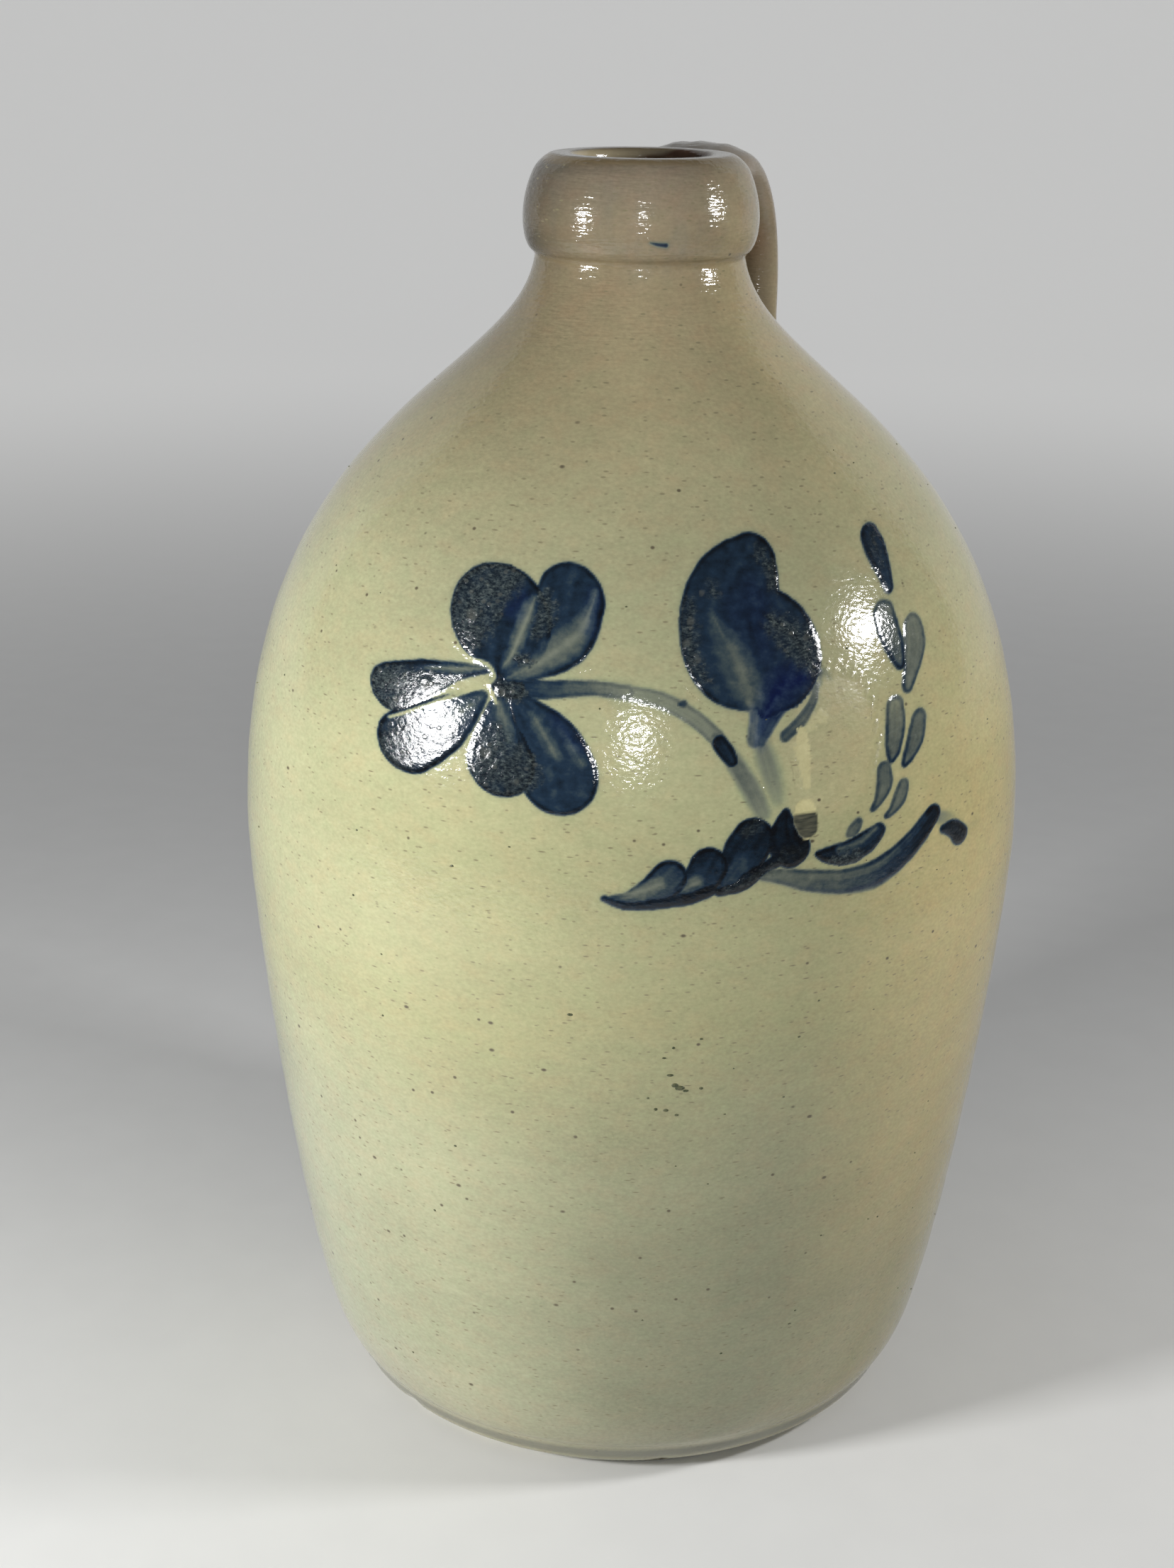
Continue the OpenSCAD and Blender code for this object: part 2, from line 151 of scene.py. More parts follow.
# the inside from the bore down to the middle of the bottom, so much nearer the axis
def innerLine(gap):
    thick = -jug["wall"] - gap
    bore = jug["boreRadius"] - gap
    high, low, pull = jug["funnelFrom"], jug["cornerFrom"], jug["cornerPull"]
    funnelStart = beside(upperCurve, high, thick)
    drop = 0.5 * (neckHeight - funnelStart.y)
    funnel = [funnelStart, funnelStart + drop * bezierRun(upperCurve, high),
              Vector((bore, neckHeight - drop)), Vector((bore, neckHeight))]
    cornerStart = beside(lowerCurve, low, thick)
    reach = jug["corner"]
    floor = jug["bottom"] + gap
    corner = [cornerStart, cornerStart - pull * reach * bezierRun(lowerCurve, low),
              Vector((cornerStart.x - pull * reach, floor)), Vector((cornerStart.x - reach, floor))]
    upperWall = [beside(upperCurve, high - high * i / 28, thick) for i in range(1, 29)]
    lowerWall = [beside(lowerCurve, 1 - (1 - low) * i / 20, thick) for i in range(1, 20)]
    return (bezierLine(funnel, 12)[::-1] + upperWall + lowerWall + bezierLine(corner, 8)
            + [Vector((20, floor)), Vector((0, floor))])


profile = outerLine()
profileR = np.array([p.x for p in profile])
profileZ = np.array([p.y for p in profile])
profileS = np.concatenate([[0], np.cumsum(np.hypot(np.diff(profileR), np.diff(profileZ)))])
# the side as finer rows, to lay the slip on
wallLine = bezierLine(lowerCurve, 500) + bezierLine(upperCurve, 700, 1)
wallR, wallZ = (np.array([p[k] for p in wallLine]) for k in (0, 1))
sideLine = bezierLine(collarSide, 300)
sideR, sideZ = (np.array([p[k] for p in sideLine]) for k in (0, 1))


# how far the thrown side strays from round, fading at the foot and mouth
def wobbleAt(angle, z):
    sway = sum(amount * np.sin(count * angle + climb * z + shift) for amount, count, climb, shift in jug["sways"])
    amount, climb, spiral = jug["throwing"]
    sway = sway + amount * np.sin(climb * z + spiral * np.sin(angle))
    most = amount + sum(row[0] for row in jug["sways"])
    return jug["wobble"] * (sway - most) * np.clip(z / 12, 0, 1) * np.clip((jug["height"] + 6 - z) / 20, 0.2, 1)


# a place on the side and the way out of it, at an angle from the front and a height
def wallPoint(angle, z, heights=wallZ, reaches=wallR, step=0.8):
    slope = (np.interp(z + step, heights, reaches) - np.interp(z - step, heights, reaches)) / (2 * step)
    size = np.sqrt(1 + slope * slope)
    r = np.interp(z, heights, reaches) + wobbleAt(angle, z)
    outward = np.stack([np.sin(angle) / size, -np.cos(angle) / size, -slope / size], -1)
    return np.stack([r * np.sin(angle), -r * np.cos(angle), z], -1), outward


def addObject(name, data):
    made = bpy.data.objects.new(name, data)
    bpy.context.scene.collection.objects.link(made)
    return made


def addMesh(name, mesh, material):
    data = bpy.data.meshes.new(name)
    mesh.to_mesh(data)
    mesh.free()
    data.materials.append(material)
    for polygon in data.polygons:
        polygon.use_smooth = True
    return addObject(name, data)


def finishPiece(name, mesh, material, nodes, marks=None):
    piece = addMesh(name, mesh, material)
    for mark, values in (marks or {}).items():
        layer = piece.data.attributes.new(mark, "FLOAT", "POINT")
        layer.data.foreach_set("value", np.asarray(values, dtype=np.float32))
    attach(piece, "root")
    if nodes:
        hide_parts(*nodes)
    return piece


def spunMesh(line, turns):
    mesh = bmesh.new()
    corners = [mesh.verts.new((0, -p.x * mm, p.y * mm)) for p in line]
    edges = [mesh.edges.new(pair) for pair in zip(corners, corners[1:])]
    bmesh.ops.spin(mesh, geom=corners + edges, cent=(0, 0, 0), axis=(0, 0, 1), angle=2 * math.pi,
                   steps=turns, use_merge=True)
    bmesh.ops.remove_doubles(mesh, verts=mesh.verts, dist=0.00001)
    bmesh.ops.recalc_face_normals(mesh, faces=mesh.faces)
    return mesh


def meshPlaces(mesh):
    return np.array([v.co[:] for v in mesh.verts]) / mm


def movePlaces(mesh, places):
    for corner, place in zip(mesh.verts, places * mm):
        corner.co = place


def smoothStep(x, low, high):
    t = np.clip((x - low) / (high - low), 0, 1)
    return t * t * (3 - 2 * t)


def hill(gap, width):
    return np.exp(-(gap / width) ** 2)


# short ways to make shader nodes; each gives the socket that the next one takes
def node(tree, kind, inputs=None, **settings):
    made = tree.nodes.new(kind)
    for key, value in settings.items():
        setattr(made, key, value)
    for key, value in (inputs or {}).items():
        socket = made.inputs[key]
        if isinstance(value, bpy.types.NodeSocket):
            tree.links.new(value, socket)
        else:
            socket.default_value = value
    return made


def sums(tree, operation, a, b, clamp=False):
    return node(tree, "ShaderNodeMath", {0: a, 1: b}, operation=operation, use_clamp=clamp).outputs[0]


def times(tree, a, b):
    return sums(tree, "MULTIPLY", a, b)


def plus(tree, a, b, clamp=False):
    return sums(tree, "ADD", a, b, clamp)


def minus(tree, a, b):
    return sums(tree, "SUBTRACT", a, b)


def ramp(tree, factor, stops):
    made = node(tree, "ShaderNodeValToRGB", {0: factor})
    elements = made.color_ramp.elements
    while len(elements) < len(stops):
        elements.new(0.5)
    for element, (place, colour) in zip(elements, stops):
        element.position = place
        element.color = (*colour, 1)
    return made.outputs["Color"]


def blend(tree, factor, a, b, kind="MIX"):
    made = node(tree, "ShaderNodeMix", data_type="RGBA", blend_type=kind)  # sockets 6 and 7 are its colours
    for socket, value in ((made.inputs[0], factor), (made.inputs[6], a), (made.inputs[7], b)):
        if isinstance(value, bpy.types.NodeSocket):
            tree.links.new(value, socket)
        elif isinstance(value, tuple):
            socket.default_value = (*value, 1)
        else:
            socket.default_value = value
    return made.outputs[2]


def tinted(tree, colour, tint):
    return blend(tree, 1.0, colour, tint, "MULTIPLY")


def span(tree, value, low, high, first=0.0, last=1.0):
    return node(tree, "ShaderNodeMapRange",
                {"Value": value, "From Min": low, "From Max": high, "To Min": first, "To Max": last},
                interpolation_type="SMOOTHSTEP").outputs[0]


def facing(tree, flat, way):
    return node(tree, "ShaderNodeVectorMath", {0: flat, 1: way}, operation="DOT_PRODUCT").outputs["Value"]


def stretched(tree, place, scale):
    return node(tree, "ShaderNodeMapping", {"Vector": place, "Scale": scale}, vector_type="POINT").outputs[0]


def cells(tree, place, flatness, scale):
    made = node(tree, "ShaderNodeTexVoronoi", {"Vector": stretched(tree, place, (1, 1, flatness)), "Scale": scale})
    chance = node(tree, "ShaderNodeSeparateColor", {0: made.outputs["Color"]}).outputs[0]
    return made.outputs["Distance"], chance


def clouds(tree, place, scale, detail=2.0, rough=0.5):
    return node(tree, "ShaderNodeTexNoise",
                {"Vector": place, "Scale": scale, "Detail": detail, "Roughness": rough}).outputs["Fac"]


# the salt glaze, darker and browner towards the top, with painted warm light on its right side, painted cool light low
# on its left, and painted light and shade by the way it faces
glaze = {
    "byHeight": [
        (0.0, (0.425, 0.405, 0.272)),
        (0.05, (0.435, 0.422, 0.286)),
        (0.1, (0.405, 0.408, 0.262)),
        (0.3, (0.412, 0.41, 0.25)),
        (0.42, (0.425, 0.412, 0.22)),
        (0.6, (0.445, 0.438, 0.248)),
        (0.72, (0.38, 0.375, 0.222)),
        (0.84, (0.345, 0.302, 0.175)),
        (0.92, (0.275, 0.224, 0.134)),
        (1.0, (0.188, 0.154, 0.11)),
    ],
    # painted warm light: the colour the right side is tinted towards
    "warmLight": (0.52, 0.425, 0.192),
    # painted cool light: the tint of the left side, fading out on the shoulder
    "coolLightTint": (1.02, 1.04, 1.14),
    "speck": (0.13, 0.11, 0.07),
    "dash": (0.22, 0.195, 0.115),
    "smear": (0.19, 0.175, 0.135),
    "hues": [(0.3, (0.97, 1.005, 0.99)), (0.5, (1.0, 1.0, 1.0)), (0.7, (1.04, 0.985, 0.98))],
    "warmLightWay": (0.98, 0.2, 0),
    "warmLightFrom": (0.5, 0.95),
    # the way painted light comes from: sides facing it are painted lighter and sides facing away painted darker
    "lightWay": (0.996, -0.087, 0),
    "litRange": (-0.75, 0.45),
    "coolLightFrom": (0.1, -0.75),
    "smearFrom": (0.45, 0.7),
    # painted shade on the collar below its widest part
    "underLipShade": 0.13,
    "roughness": (0.07, 0.09),
    # each noise: stretch, scale, detail and roughness
    "noises": {
        "drift": ((1, 1, 1), 14, 2, 0.5),
        "smears": ((1, 1, 0.35), 90, 3, 0.6),
        "broad": ((1, 1, 1.6), 32, 3, 0.5),
        "fine": ((1, 1, 2.4), 210, 3, 0.6),
        "grain": ((1, 1, 1.6), 1000, 1, 0.5),
        "hue": ((1, 1, 1.5), 170, 3, 0.6),
        "peel": ((1, 1, 2.6), 560, 2, 0.55),
        "ripple": ((1, 1, 4), 1000, 1, 0.5),
        "dimples": ((1, 1, 1.3), 800, 2, 0.5),
        "lines": ((0.16, 0.16, 1), 1500, 1, 0.5),
        "pits": ((1, 1, 1), 1500, 1, 0.5),
    },
    # how strongly a noise moves the colour or the surface
    "swings": {"drift": 0.12, "broad": 0.28, "fine": 0.2, "grain": 0.32},
    "relief": {"peel": 0.25, "ripple": 0.1, "dimples": 0.8},
    "thrownRelief": {"lines": 1.5, "pits": 0.2},
    # each fade up the jug: its two heights in metres and its strength at both
    "fades": {
        "warmLightTop": (0.22, 0.135, 0.12, 0.88),
        "warmLightFoot": (0.03, 0.08, 0.5, 1.0),
        "cool": (0.2, 0.15, 0.0, 1.0),
        # high, low and collar: how much painted light and shade are laid near the top, near the foot and on the collar
        "high": (0.2, 0.265, 0.0, 0.62),
        "low": (0.15, 0.04, 0.0, 0.6),
        "collar": (0.258, 0.268, 0.0, 0.34),
        # the band of painted shade on the collar below its widest part
        "lipStart": (0.2615, 0.2625, 0.0, 1.0),
        "lipEnd": (0.2705, 0.265, 0.0, 1.0),
        "smears": (0.255, 0.265, 0.0, 0.5),
        "thrown": (0.238, 0.25, 0.0, 1.0),
    },
    # specks: scale, flatness, reach, rarity, colour and strength
    "specks": [
        (170, 1.2, 0.1, 0.5, "speck", 1.0),
        (260, 3.0, 0.2, 0.45, "dash", 0.75),
        (420, 2.0, 0.22, 0.55, "dash", 0.6),
        (110, 5.0, 0.11, 0.4, "dash", 0.9),
        (90, 1.6, 0.075, 0.45, "speck", 1.0),
    ],
}


def makeSaltGlaze():
    tree = bpy.data.node_groups.new("saltGlaze", "ShaderNodeTree")
    tree.interface.new_socket("Place", in_out="INPUT", socket_type="NodeSocketVector")
    for title, kind in (("Color", "Color"), ("Roughness", "Float"), ("Height", "Float")):
        tree.interface.new_socket(title, in_out="OUTPUT", socket_type="NodeSocket" + kind)
    place = tree.nodes.new("NodeGroupInput").outputs["Place"]
    axes = node(tree, "ShaderNodeSeparateXYZ", {0: place}).outputs
    noises = {name: clouds(tree, stretched(tree, place, stretch), *rest)
              for name, (stretch, *rest) in glaze["noises"].items()}
    fades = {name: span(tree, axes[2], *ends) for name, ends in glaze["fades"].items()}

    def swing(name):
        return times(tree, minus(tree, noises[name], 0.5), glaze["swings"][name])

    rise = plus(tree, times(tree, axes[2], 1 / (jug["height"] * mm)), swing("drift"))
    colour = ramp(tree, rise, glaze["byHeight"])
    flat = node(tree, "ShaderNodeCombineXYZ", {0: axes[0], 1: axes[1], 2: 0.0}).outputs[0]
    flat = node(tree, "ShaderNodeVectorMath", {0: flat}, operation="NORMALIZE").outputs[0]
    # painted warm light on the right side, fading towards the top and the foot
    warm = span(tree, facing(tree, flat, glaze["warmLightWay"]), *glaze["warmLightFrom"])
    warm = times(tree, times(tree, warm, fades["warmLightTop"]), fades["warmLightFoot"])
    colour = blend(tree, warm, colour, glaze["warmLight"])
    least, most = glaze["litRange"]
    lit = facing(tree, flat, glaze["lightWay"])
    lit = node(tree, "ShaderNodeClamp", {"Value": lit, "Min": least, "Max": most}).outputs[0]
    # painted cool light on the side facing away from the light, fading out on the shoulder
    cool = times(tree, span(tree, lit, *glaze["coolLightFrom"]), fades["cool"])
    colour = blend(tree, cool, colour, tinted(tree, colour, glaze["coolLightTint"]))
    # painted light and shade: the lit side lighter and the other side darker near the top, the other side darker still
    # on the collar, and the lit side darker near the foot
    shade = plus(tree, 1.0, times(tree, lit, fades["high"]))
    shade = minus(tree, shade, times(tree, fades["low"], sums(tree, "MAXIMUM", lit, 0.0)))
    shade = plus(tree, shade, times(tree, fades["collar"], sums(tree, "MINIMUM", lit, 0.0)))
    # painted shade on the collar below its widest part
    underLipShade = times(tree, fades["lipStart"], fades["lipEnd"])
    shade = minus(tree, shade, times(tree, underLipShade, glaze["underLipShade"]))
    smears = times(tree, span(tree, noises["smears"], *glaze["smearFrom"]), fades["smears"])
    colour = blend(tree, smears, colour, glaze["smear"])
    light = 1.0
    for name in ("broad", "fine", "grain"):
        light = plus(tree, light, swing(name))
    light = times(tree, light, shade)
    grey = node(tree, "ShaderNodeCombineColor", {0: light, 1: light, 2: light}).outputs[0]
    colour = tinted(tree, colour, grey)
    colour = tinted(tree, colour, ramp(tree, noises["hue"], glaze["hues"]))
    for scale, flatness, reach, rare, tint, strength in glaze["specks"]:
        distance, chance = cells(tree, place, flatness, scale)
        dots = times(tree, span(tree, distance, reach, reach * 0.35), span(tree, chance, rare, rare + 0.1))
        colour = blend(tree, times(tree, dots, strength), colour, glaze[tint])
    height = 0.0
    for name, weight in glaze["relief"].items():
        height = plus(tree, height, times(tree, noises[name], weight))
    for name, weight in glaze["thrownRelief"].items():
        height = plus(tree, height, times(tree, noises[name], times(tree, fades["thrown"], weight)))
    smooth, spread = glaze["roughness"]
    rough = plus(tree, times(tree, noises["fine"], spread), smooth)
    node(tree, "NodeGroupOutput", {"Color": colour, "Roughness": rough, "Height": height})
    return tree


saltGlaze = makeSaltGlaze()


def newMaterial(name):
    material = bpy.data.materials.new(name)
    material.use_nodes = True
    tree = material.node_tree
    tree.nodes.clear()
    shader = node(tree, "ShaderNodeBsdfPrincipled")
    node(tree, "ShaderNodeOutputMaterial", {"Surface": shader.outputs[0]})
    place = node(tree, "ShaderNodeTexCoord").outputs["Object"]
    return material, tree, shader, place


def useGlaze(tree, place):
    made = node(tree, "ShaderNodeGroup", node_tree=saltGlaze)
    tree.links.new(place, made.inputs["Place"])
    return [made.outputs[name] for name in ("Color", "Roughness", "Height")]


def mark(tree, name):
    return node(tree, "ShaderNodeAttribute", attribute_name=name).outputs["Fac"]


def wire(tree, shader, colour, rough, height, distance=0.0001):
    bump = node(tree, "ShaderNodeBump", {"Height": height, "Distance": distance, "Strength": 1.0})
    tree.links.new(colour, shader.inputs["Base Color"])
    tree.links.new(rough, shader.inputs["Roughness"])
    tree.links.new(bump.outputs[0], shader.inputs["Normal"])
    shader.inputs["IOR"].default_value = 1.5


slipLook = {
    "dark": (0.05, 0.024, 0.012),
    "light": (0.13, 0.062, 0.03),
    # the rim's own brown, also laid as painted shade in the groove under the collar
    "rim": (0.195, 0.14, 0.062),
    # a red-brown tint on the strap near the collar
    "redBrown": (0.26, 0.14, 0.075),
    # painted light on the inside of the mouth
    "mouth": (0.66, 0.56, 0.36),
    # painted shade on the strap's face toward the neck
    "inside": (0.23, 0.185, 0.125),
    "strap": (0.27, 0.215, 0.155),
    # painted shade on the band where the foot turns in towards the floor
    "foot": (0.19, 0.19, 0.16),
    # a painted highlight along the roll above the foot
    "bead": (0.46, 0.44, 0.3),
    "strapShare": 0.35,
    "cloud": ((1, 1, 0.6), 130, 4, 0.6),
    "grain": (300, 3),
    "roughness": (0.3, 0.7, 0.25, 0.42),
    "bump": 0.0003,
}


def slipColour(tree, place):
    stretch, *rest = slipLook["cloud"]
    cloud = clouds(tree, stretched(tree, place, stretch), *rest)
    return ramp(tree, cloud, [(0.3, slipLook["dark"]), (0.7, slipLook["light"])])


def makePotMaterial():
    material, tree, shader, place = newMaterial("saltGlazedClay")
    colour, rough, height = useGlaze(tree, place)
    # painted light inside the mouth, the rim's brown with painted shade under the collar, painted shade on the foot and
    # a painted highlight above it
    for name in ("mouth", "rim", "foot", "bead"):
        colour = blend(tree, mark(tree, name), colour, slipLook[name])
    colour = blend(tree, mark(tree, "slip"), colour, slipColour(tree, place))
    wire(tree, shader, colour, rough, height)
    return material


def makeSlipMaterial():
    material, tree, shader, place = newMaterial("brownSlip")
    height = clouds(tree, place, *slipLook["grain"])
    rough = span(tree, height, *slipLook["roughness"])
    wire(tree, shader, slipColour(tree, place), rough, height, slipLook["bump"])
    return material


def makeHandleMaterial():
    material, tree, shader, place = newMaterial("glazedStrap")
    colour, rough, height = useGlaze(tree, place)
    colour = blend(tree, slipLook["strapShare"], colour, slipLook["strap"])
    for name in ("inside", "redBrown"):
        colour = blend(tree, mark(tree, name), colour, slipLook[name])
    wire(tree, shader, colour, rough, height)
    return material


print("materials made")


potLook = {
    # chips in the foot: turn, width in degrees, depth and height
    "chips": [(-52, 2.2, 0.9, 2.5), (-39, 1.4, 0.7, 1.8), (-24, 1.8, 0.8, 2.0), (31, 1.2, 0.6, 2.2),
              (96, 1.6, 0.7, 1.6)],
    "chipHeight": 3.5,
    "chipTop": 9,
    "boreRings": (1.2, 2.6, 4.2, 6, 8, 11, 15),
    "skin": 3,
    "footTop": 8,
    "slipLow": 276.5,
    "slipHigh": 283.4,
    "slipTurn": 50,
    "rimFade": (1.9, 0.4),
    "rimInside": (14.4, 15.6),
    # where painted light lies on the inside of the mouth
    "mouthLightFade": (276, 281),
    "mouthLightInside": 15.2,
    "footFrom": 58,
    "creaseShadeFrom": 22,
    "footShadeBand": (4.6, 5.4, 6.8, 8.0),
    "bead": (9.2, 0.8),
    "strengths": {"rim": 0.75, "creaseShade": 0.45, "foot": 0.75, "bead": 0.6},
}


def makePot():
    bore = [Vector((jug["boreRadius"], jug["height"] - jug["mouthRound"] - h)) for h in potLook["boreRings"]]
    mesh = spunMesh(profile + bore + innerLine(0), jug["turns"])
    places = meshPlaces(mesh)
    r = np.hypot(places[:, 0], places[:, 1])
    z = places[:, 2]
    angle = np.arctan2(places[:, 0], -places[:, 1])
    wall = np.interp(z, wallZ, wallR) - potLook["skin"]
    outer = (r > wall) & (r > jug["boreRadius"] + 2.5) | (z < potLook["footTop"])
    atFoot = r > potLook["footFrom"]
    move = np.where(outer, wobbleAt(angle, z), 0)
    for turn, wide, deep, tall in potLook["chips"]:
        around = hill(np.degrees(angle) - turn, wide)
        move -= deep * around * hill(z - potLook["chipHeight"], tall) * atFoot * (z < potLook["chipTop"])
    scale = np.where(r > 0.1, (r + move) / np.maximum(r, 0.1), 1)
    places[:, 0] *= scale
    places[:, 1] *= scale
    movePlaces(mesh, places)
    # brown slip inside the bore and on the inside of the jug; its top edge rises towards the back right, which also
    # paints shade there
    side = np.sin(angle - math.radians(potLook["slipTurn"]))
    inBore = (r < jug["boreRadius"] + jug["mouthRound"] + 0.2) & (z > neckHeight - 4)
    edge = potLook["slipLow"] + (potLook["slipHigh"] - potLook["slipLow"]) * (0.5 + 0.5 * side)
    edge += 0.5 * np.sin(5 * angle) + 0.3 * np.sin(11 * angle + 1)
    slip = np.where(inBore, smoothStep(edge - z, -0.5, 0.9), 0)
    slip = np.maximum(slip, (r < wall) & (z > potLook["footTop"]) & (z <= neckHeight))
    low, high = (jug["height"] - drop for drop in potLook["rimFade"])
    strong, band = potLook["strengths"], potLook["footShadeBand"]
    beadHeight, beadWidth = potLook["bead"]
    rim = smoothStep(z, low + 0.4 * np.sin(3 * angle), high) * smoothStep(r, *potLook["rimInside"])
    # painted shade in the groove where the collar meets the neck
    creaseShade = hill(z - neckHeight - 0.4, 0.7) * (r > potLook["creaseShadeFrom"])
    marks = {
        "slip": slip,
        "rim": np.maximum(strong["rim"] * rim, strong["creaseShade"] * creaseShade),
        # painted shade on the band where the foot turns in towards the floor
        "foot": strong["foot"] * smoothStep(z, *band[:2]) * (1 - smoothStep(z, *band[2:])) * atFoot,
        # a painted highlight along the roll above the foot
        "bead": strong["bead"] * hill(z - beadHeight, beadWidth) * atFoot,
        # painted light inside the mouth, on the side away from the slip's high edge
        "mouth": (0.5 - 0.5 * side) * (r < potLook["mouthLightInside"]) * smoothStep(z, *potLook["mouthLightFade"]),
    }
    nodes = ["bottom", "heel", "lower_wall", "belly", "shoulder", "upper_shoulder", "neck", "collar"]
    finishPiece("pot", mesh, makePotMaterial(), nodes, marks)


makePot()
print("pot made")


liningLook = {"gap": 0.3, "thickness": 0.25, "turns": 120, "topDrop": 2.5, "topWave": 0.8}


def thicken(piece, thickness):
    solid = piece.modifiers.new("thickness", "SOLIDIFY")
    solid.thickness = thickness * mm
    solid.offset = -1


def makeLining():
    mesh = spunMesh(innerLine(liningLook["gap"]), liningLook["turns"])
    places = meshPlaces(mesh)
    angle = np.arctan2(places[:, 0], -places[:, 1])
    top = places[:, 2] > neckHeight - 0.1
    places[top, 2] += liningLook["topWave"] * np.sin(3 * angle[top]) - liningLook["topDrop"]
    movePlaces(mesh, places)
    bmesh.ops.reverse_faces(mesh, faces=mesh.faces)
    piece = finishPiece("slipLining", mesh, makeSlipMaterial(), ["slip_lining"])
    thicken(piece, liningLook["thickness"])


makeLining()


# the handle: pulls are parts of the strap's reach, and shares run from its root at the collar to its tail
handle = {
    "gripReach": 51.6,
    "gripDrop": 38.0,
    "width": 26.5,
    "thickness": 8.9,
    "square": 2.3,
    # width and thickness along the strap, as parts of its own
    "shares": [(1.08, 1.4), (0.98, 1.26), (0.95, 1.12), (0.98, 1.04), (1, 1), (1, 0.98), (1.01, 0.95),
               (1.06, 0.8), (0.86, 0.3)],
    "ribs": (0.16, 1.1, 1.2, 5),
    "root": (0.709, 0.3),
    "rootPull": (0.23, 0.8),
    "gripPull": (1.055, 0.1),
    "crown": 1.2,
    "tailShare": 0.355,
    "tailSink": 0.16,
    "tailPull": (0.3, 0.6),
    "thumbRadius": 13.0,
    "thumbDepth": 1.6,
    "thumbShare": 0.85,
    "rings": 96,
    "sides": 44,
    "filletRings": 9,
    # each end: where to look for the wall, the fillet's length as a share, and how far its clay is smeared
    "upperEnd": (0.3, 0.0, 0.035, 6.5),
    "lowerEnd": (0.72, 1.0, -0.03, 5.0),
    # heights up the strap and how far back its middle runs there
    "middle": [(205, 70), (228, 57), (245, 51.6), (262, 50), (275, 42), (283, 30)],
    # height and spread of a red-brown tint on the strap's face toward the neck
    "heat": (264, 8),
    # strengths of the painted shade on the face toward the neck and of a red-brown tint there
    "strengths": {"inside": 0.75, "redBrown": 0.62},
}
shareRows = [Vector(row) for row in handle["shares"]]
strapRoot = Vector((handle["root"][0] * jug["collarRadius"], neckHeight + handle["root"][1] * jug["collarHeight"]))
grip = Vector((handle["gripReach"], jug["height"] - handle["gripDrop"]))
overCurve = [
    strapRoot,
    strapRoot + Vector((handle["rootPull"][0] * handle["gripReach"],
                        handle["rootPull"][1] * jug["collarHeight"] + handle["crown"])),
    Vector((handle["gripPull"][0] * grip.x,
            jug["height"] - handle["gripPull"][1] * handle["gripDrop"] + handle["crown"])),
    grip,
]
tail = beside(upperCurve, handle["tailShare"], -handle["tailSink"] * handle["thickness"])
tailDrop = grip.y - tail.y
downCurve = [
    grip,
    grip - Vector((0, handle["tailPull"][0] * tailDrop)),
    tail + handle["tailPull"][1] * tailDrop * bezierRun(upperCurve, handle["tailShare"]),
    tail,
]


# a place on the strap's skin: across the jug, away behind its axis, and up
def strapPoint(share, turn):
    curve, t = (overCurve, 2 * share) if share < 0.5 else (downCurve, 2 * share - 1)
    wide, thick = smoothRow(shareRows, share * (len(shareRows) - 1))
    cosine, sine = math.cos(turn), math.sin(turn)
    power = 2 / handle["square"]
    across = math.copysign(abs(cosine) ** power, cosine) * wide * handle["width"] / 2
    up = math.copysign(abs(sine) ** power, sine) * thick * handle["thickness"] / 2
    rib, pitch, stray, bends = handle["ribs"]
    up += rib * math.sin(pitch * across + stray * math.sin(bends * share)) * abs(sine)
    at = bezier(curve, t) - up * rightOf(bezierRun(curve, t))
    return Vector((across, at.x, at.y))


def insidePot(point):
    r = math.hypot(point.x, point.y)
    if point.z > jug["height"]:
        return False
    if point.z > neckHeight + 3:
        above = profileR[(profileZ > point.z) & (profileR > jug["boreRadius"])]
        return bool(len(above)) and r < above.max()
    return r < float(np.interp(point.z, wallZ, wallR))


def crossing(turn, outside, within):
    for _ in range(24):
        middle = (outside + within) / 2
        if insidePot(strapPoint(middle, turn)):
            within = middle
        else:
            outside = middle
    return outside


# a place on the pot's side, from the way along its outline and the angle from the back
def surfaceAt(angle, s):
    r, z = float(np.interp(s, profileS, profileR)), float(np.interp(s, profileS, profileZ))
    return Vector((r * math.sin(angle), r * math.cos(angle), z))


# where the strap meets the pot, and where the clay smeared off it ends
def endLoop(turns, end):
    first, last, inward, smear = end
    steps = [first + (last - first) * i / 60 for i in range(61)]
    shares = []
    for turn in turns:
        hit = next((i for i in range(60) if insidePot(strapPoint(steps[i + 1], turn))), 59)
        shares.append(crossing(turn, steps[hit], steps[hit + 1]))
    meets = [strapPoint(share, turn) for share, turn in zip(shares, turns)]
    flats = []
    for point in meets:
        r = math.hypot(point.x, point.y)
        nearest = int(np.argmin((profileR - r) ** 2 + (profileZ - point.z) ** 2))
        flats.append(Vector((math.atan2(point.x, point.y) * r, profileS[nearest], r)))
    middle = sum(f.y for f in flats) / len(flats)
    highest = profileS[-1] - 2.4
    ends = []
    for flat, turn in zip(flats, turns):
        away = Vector((flat.x, flat.y - middle)).normalized()
        reach = smear * (1 + 0.12 * math.sin(3 * turn + 1) + 0.08 * math.sin(5 * turn))
        ends.append(surfaceAt((flat.x + away.x * reach) / flat.z, min(flat.y + away.y * reach, highest)))
    return [share + inward for share in shares], meets, ends


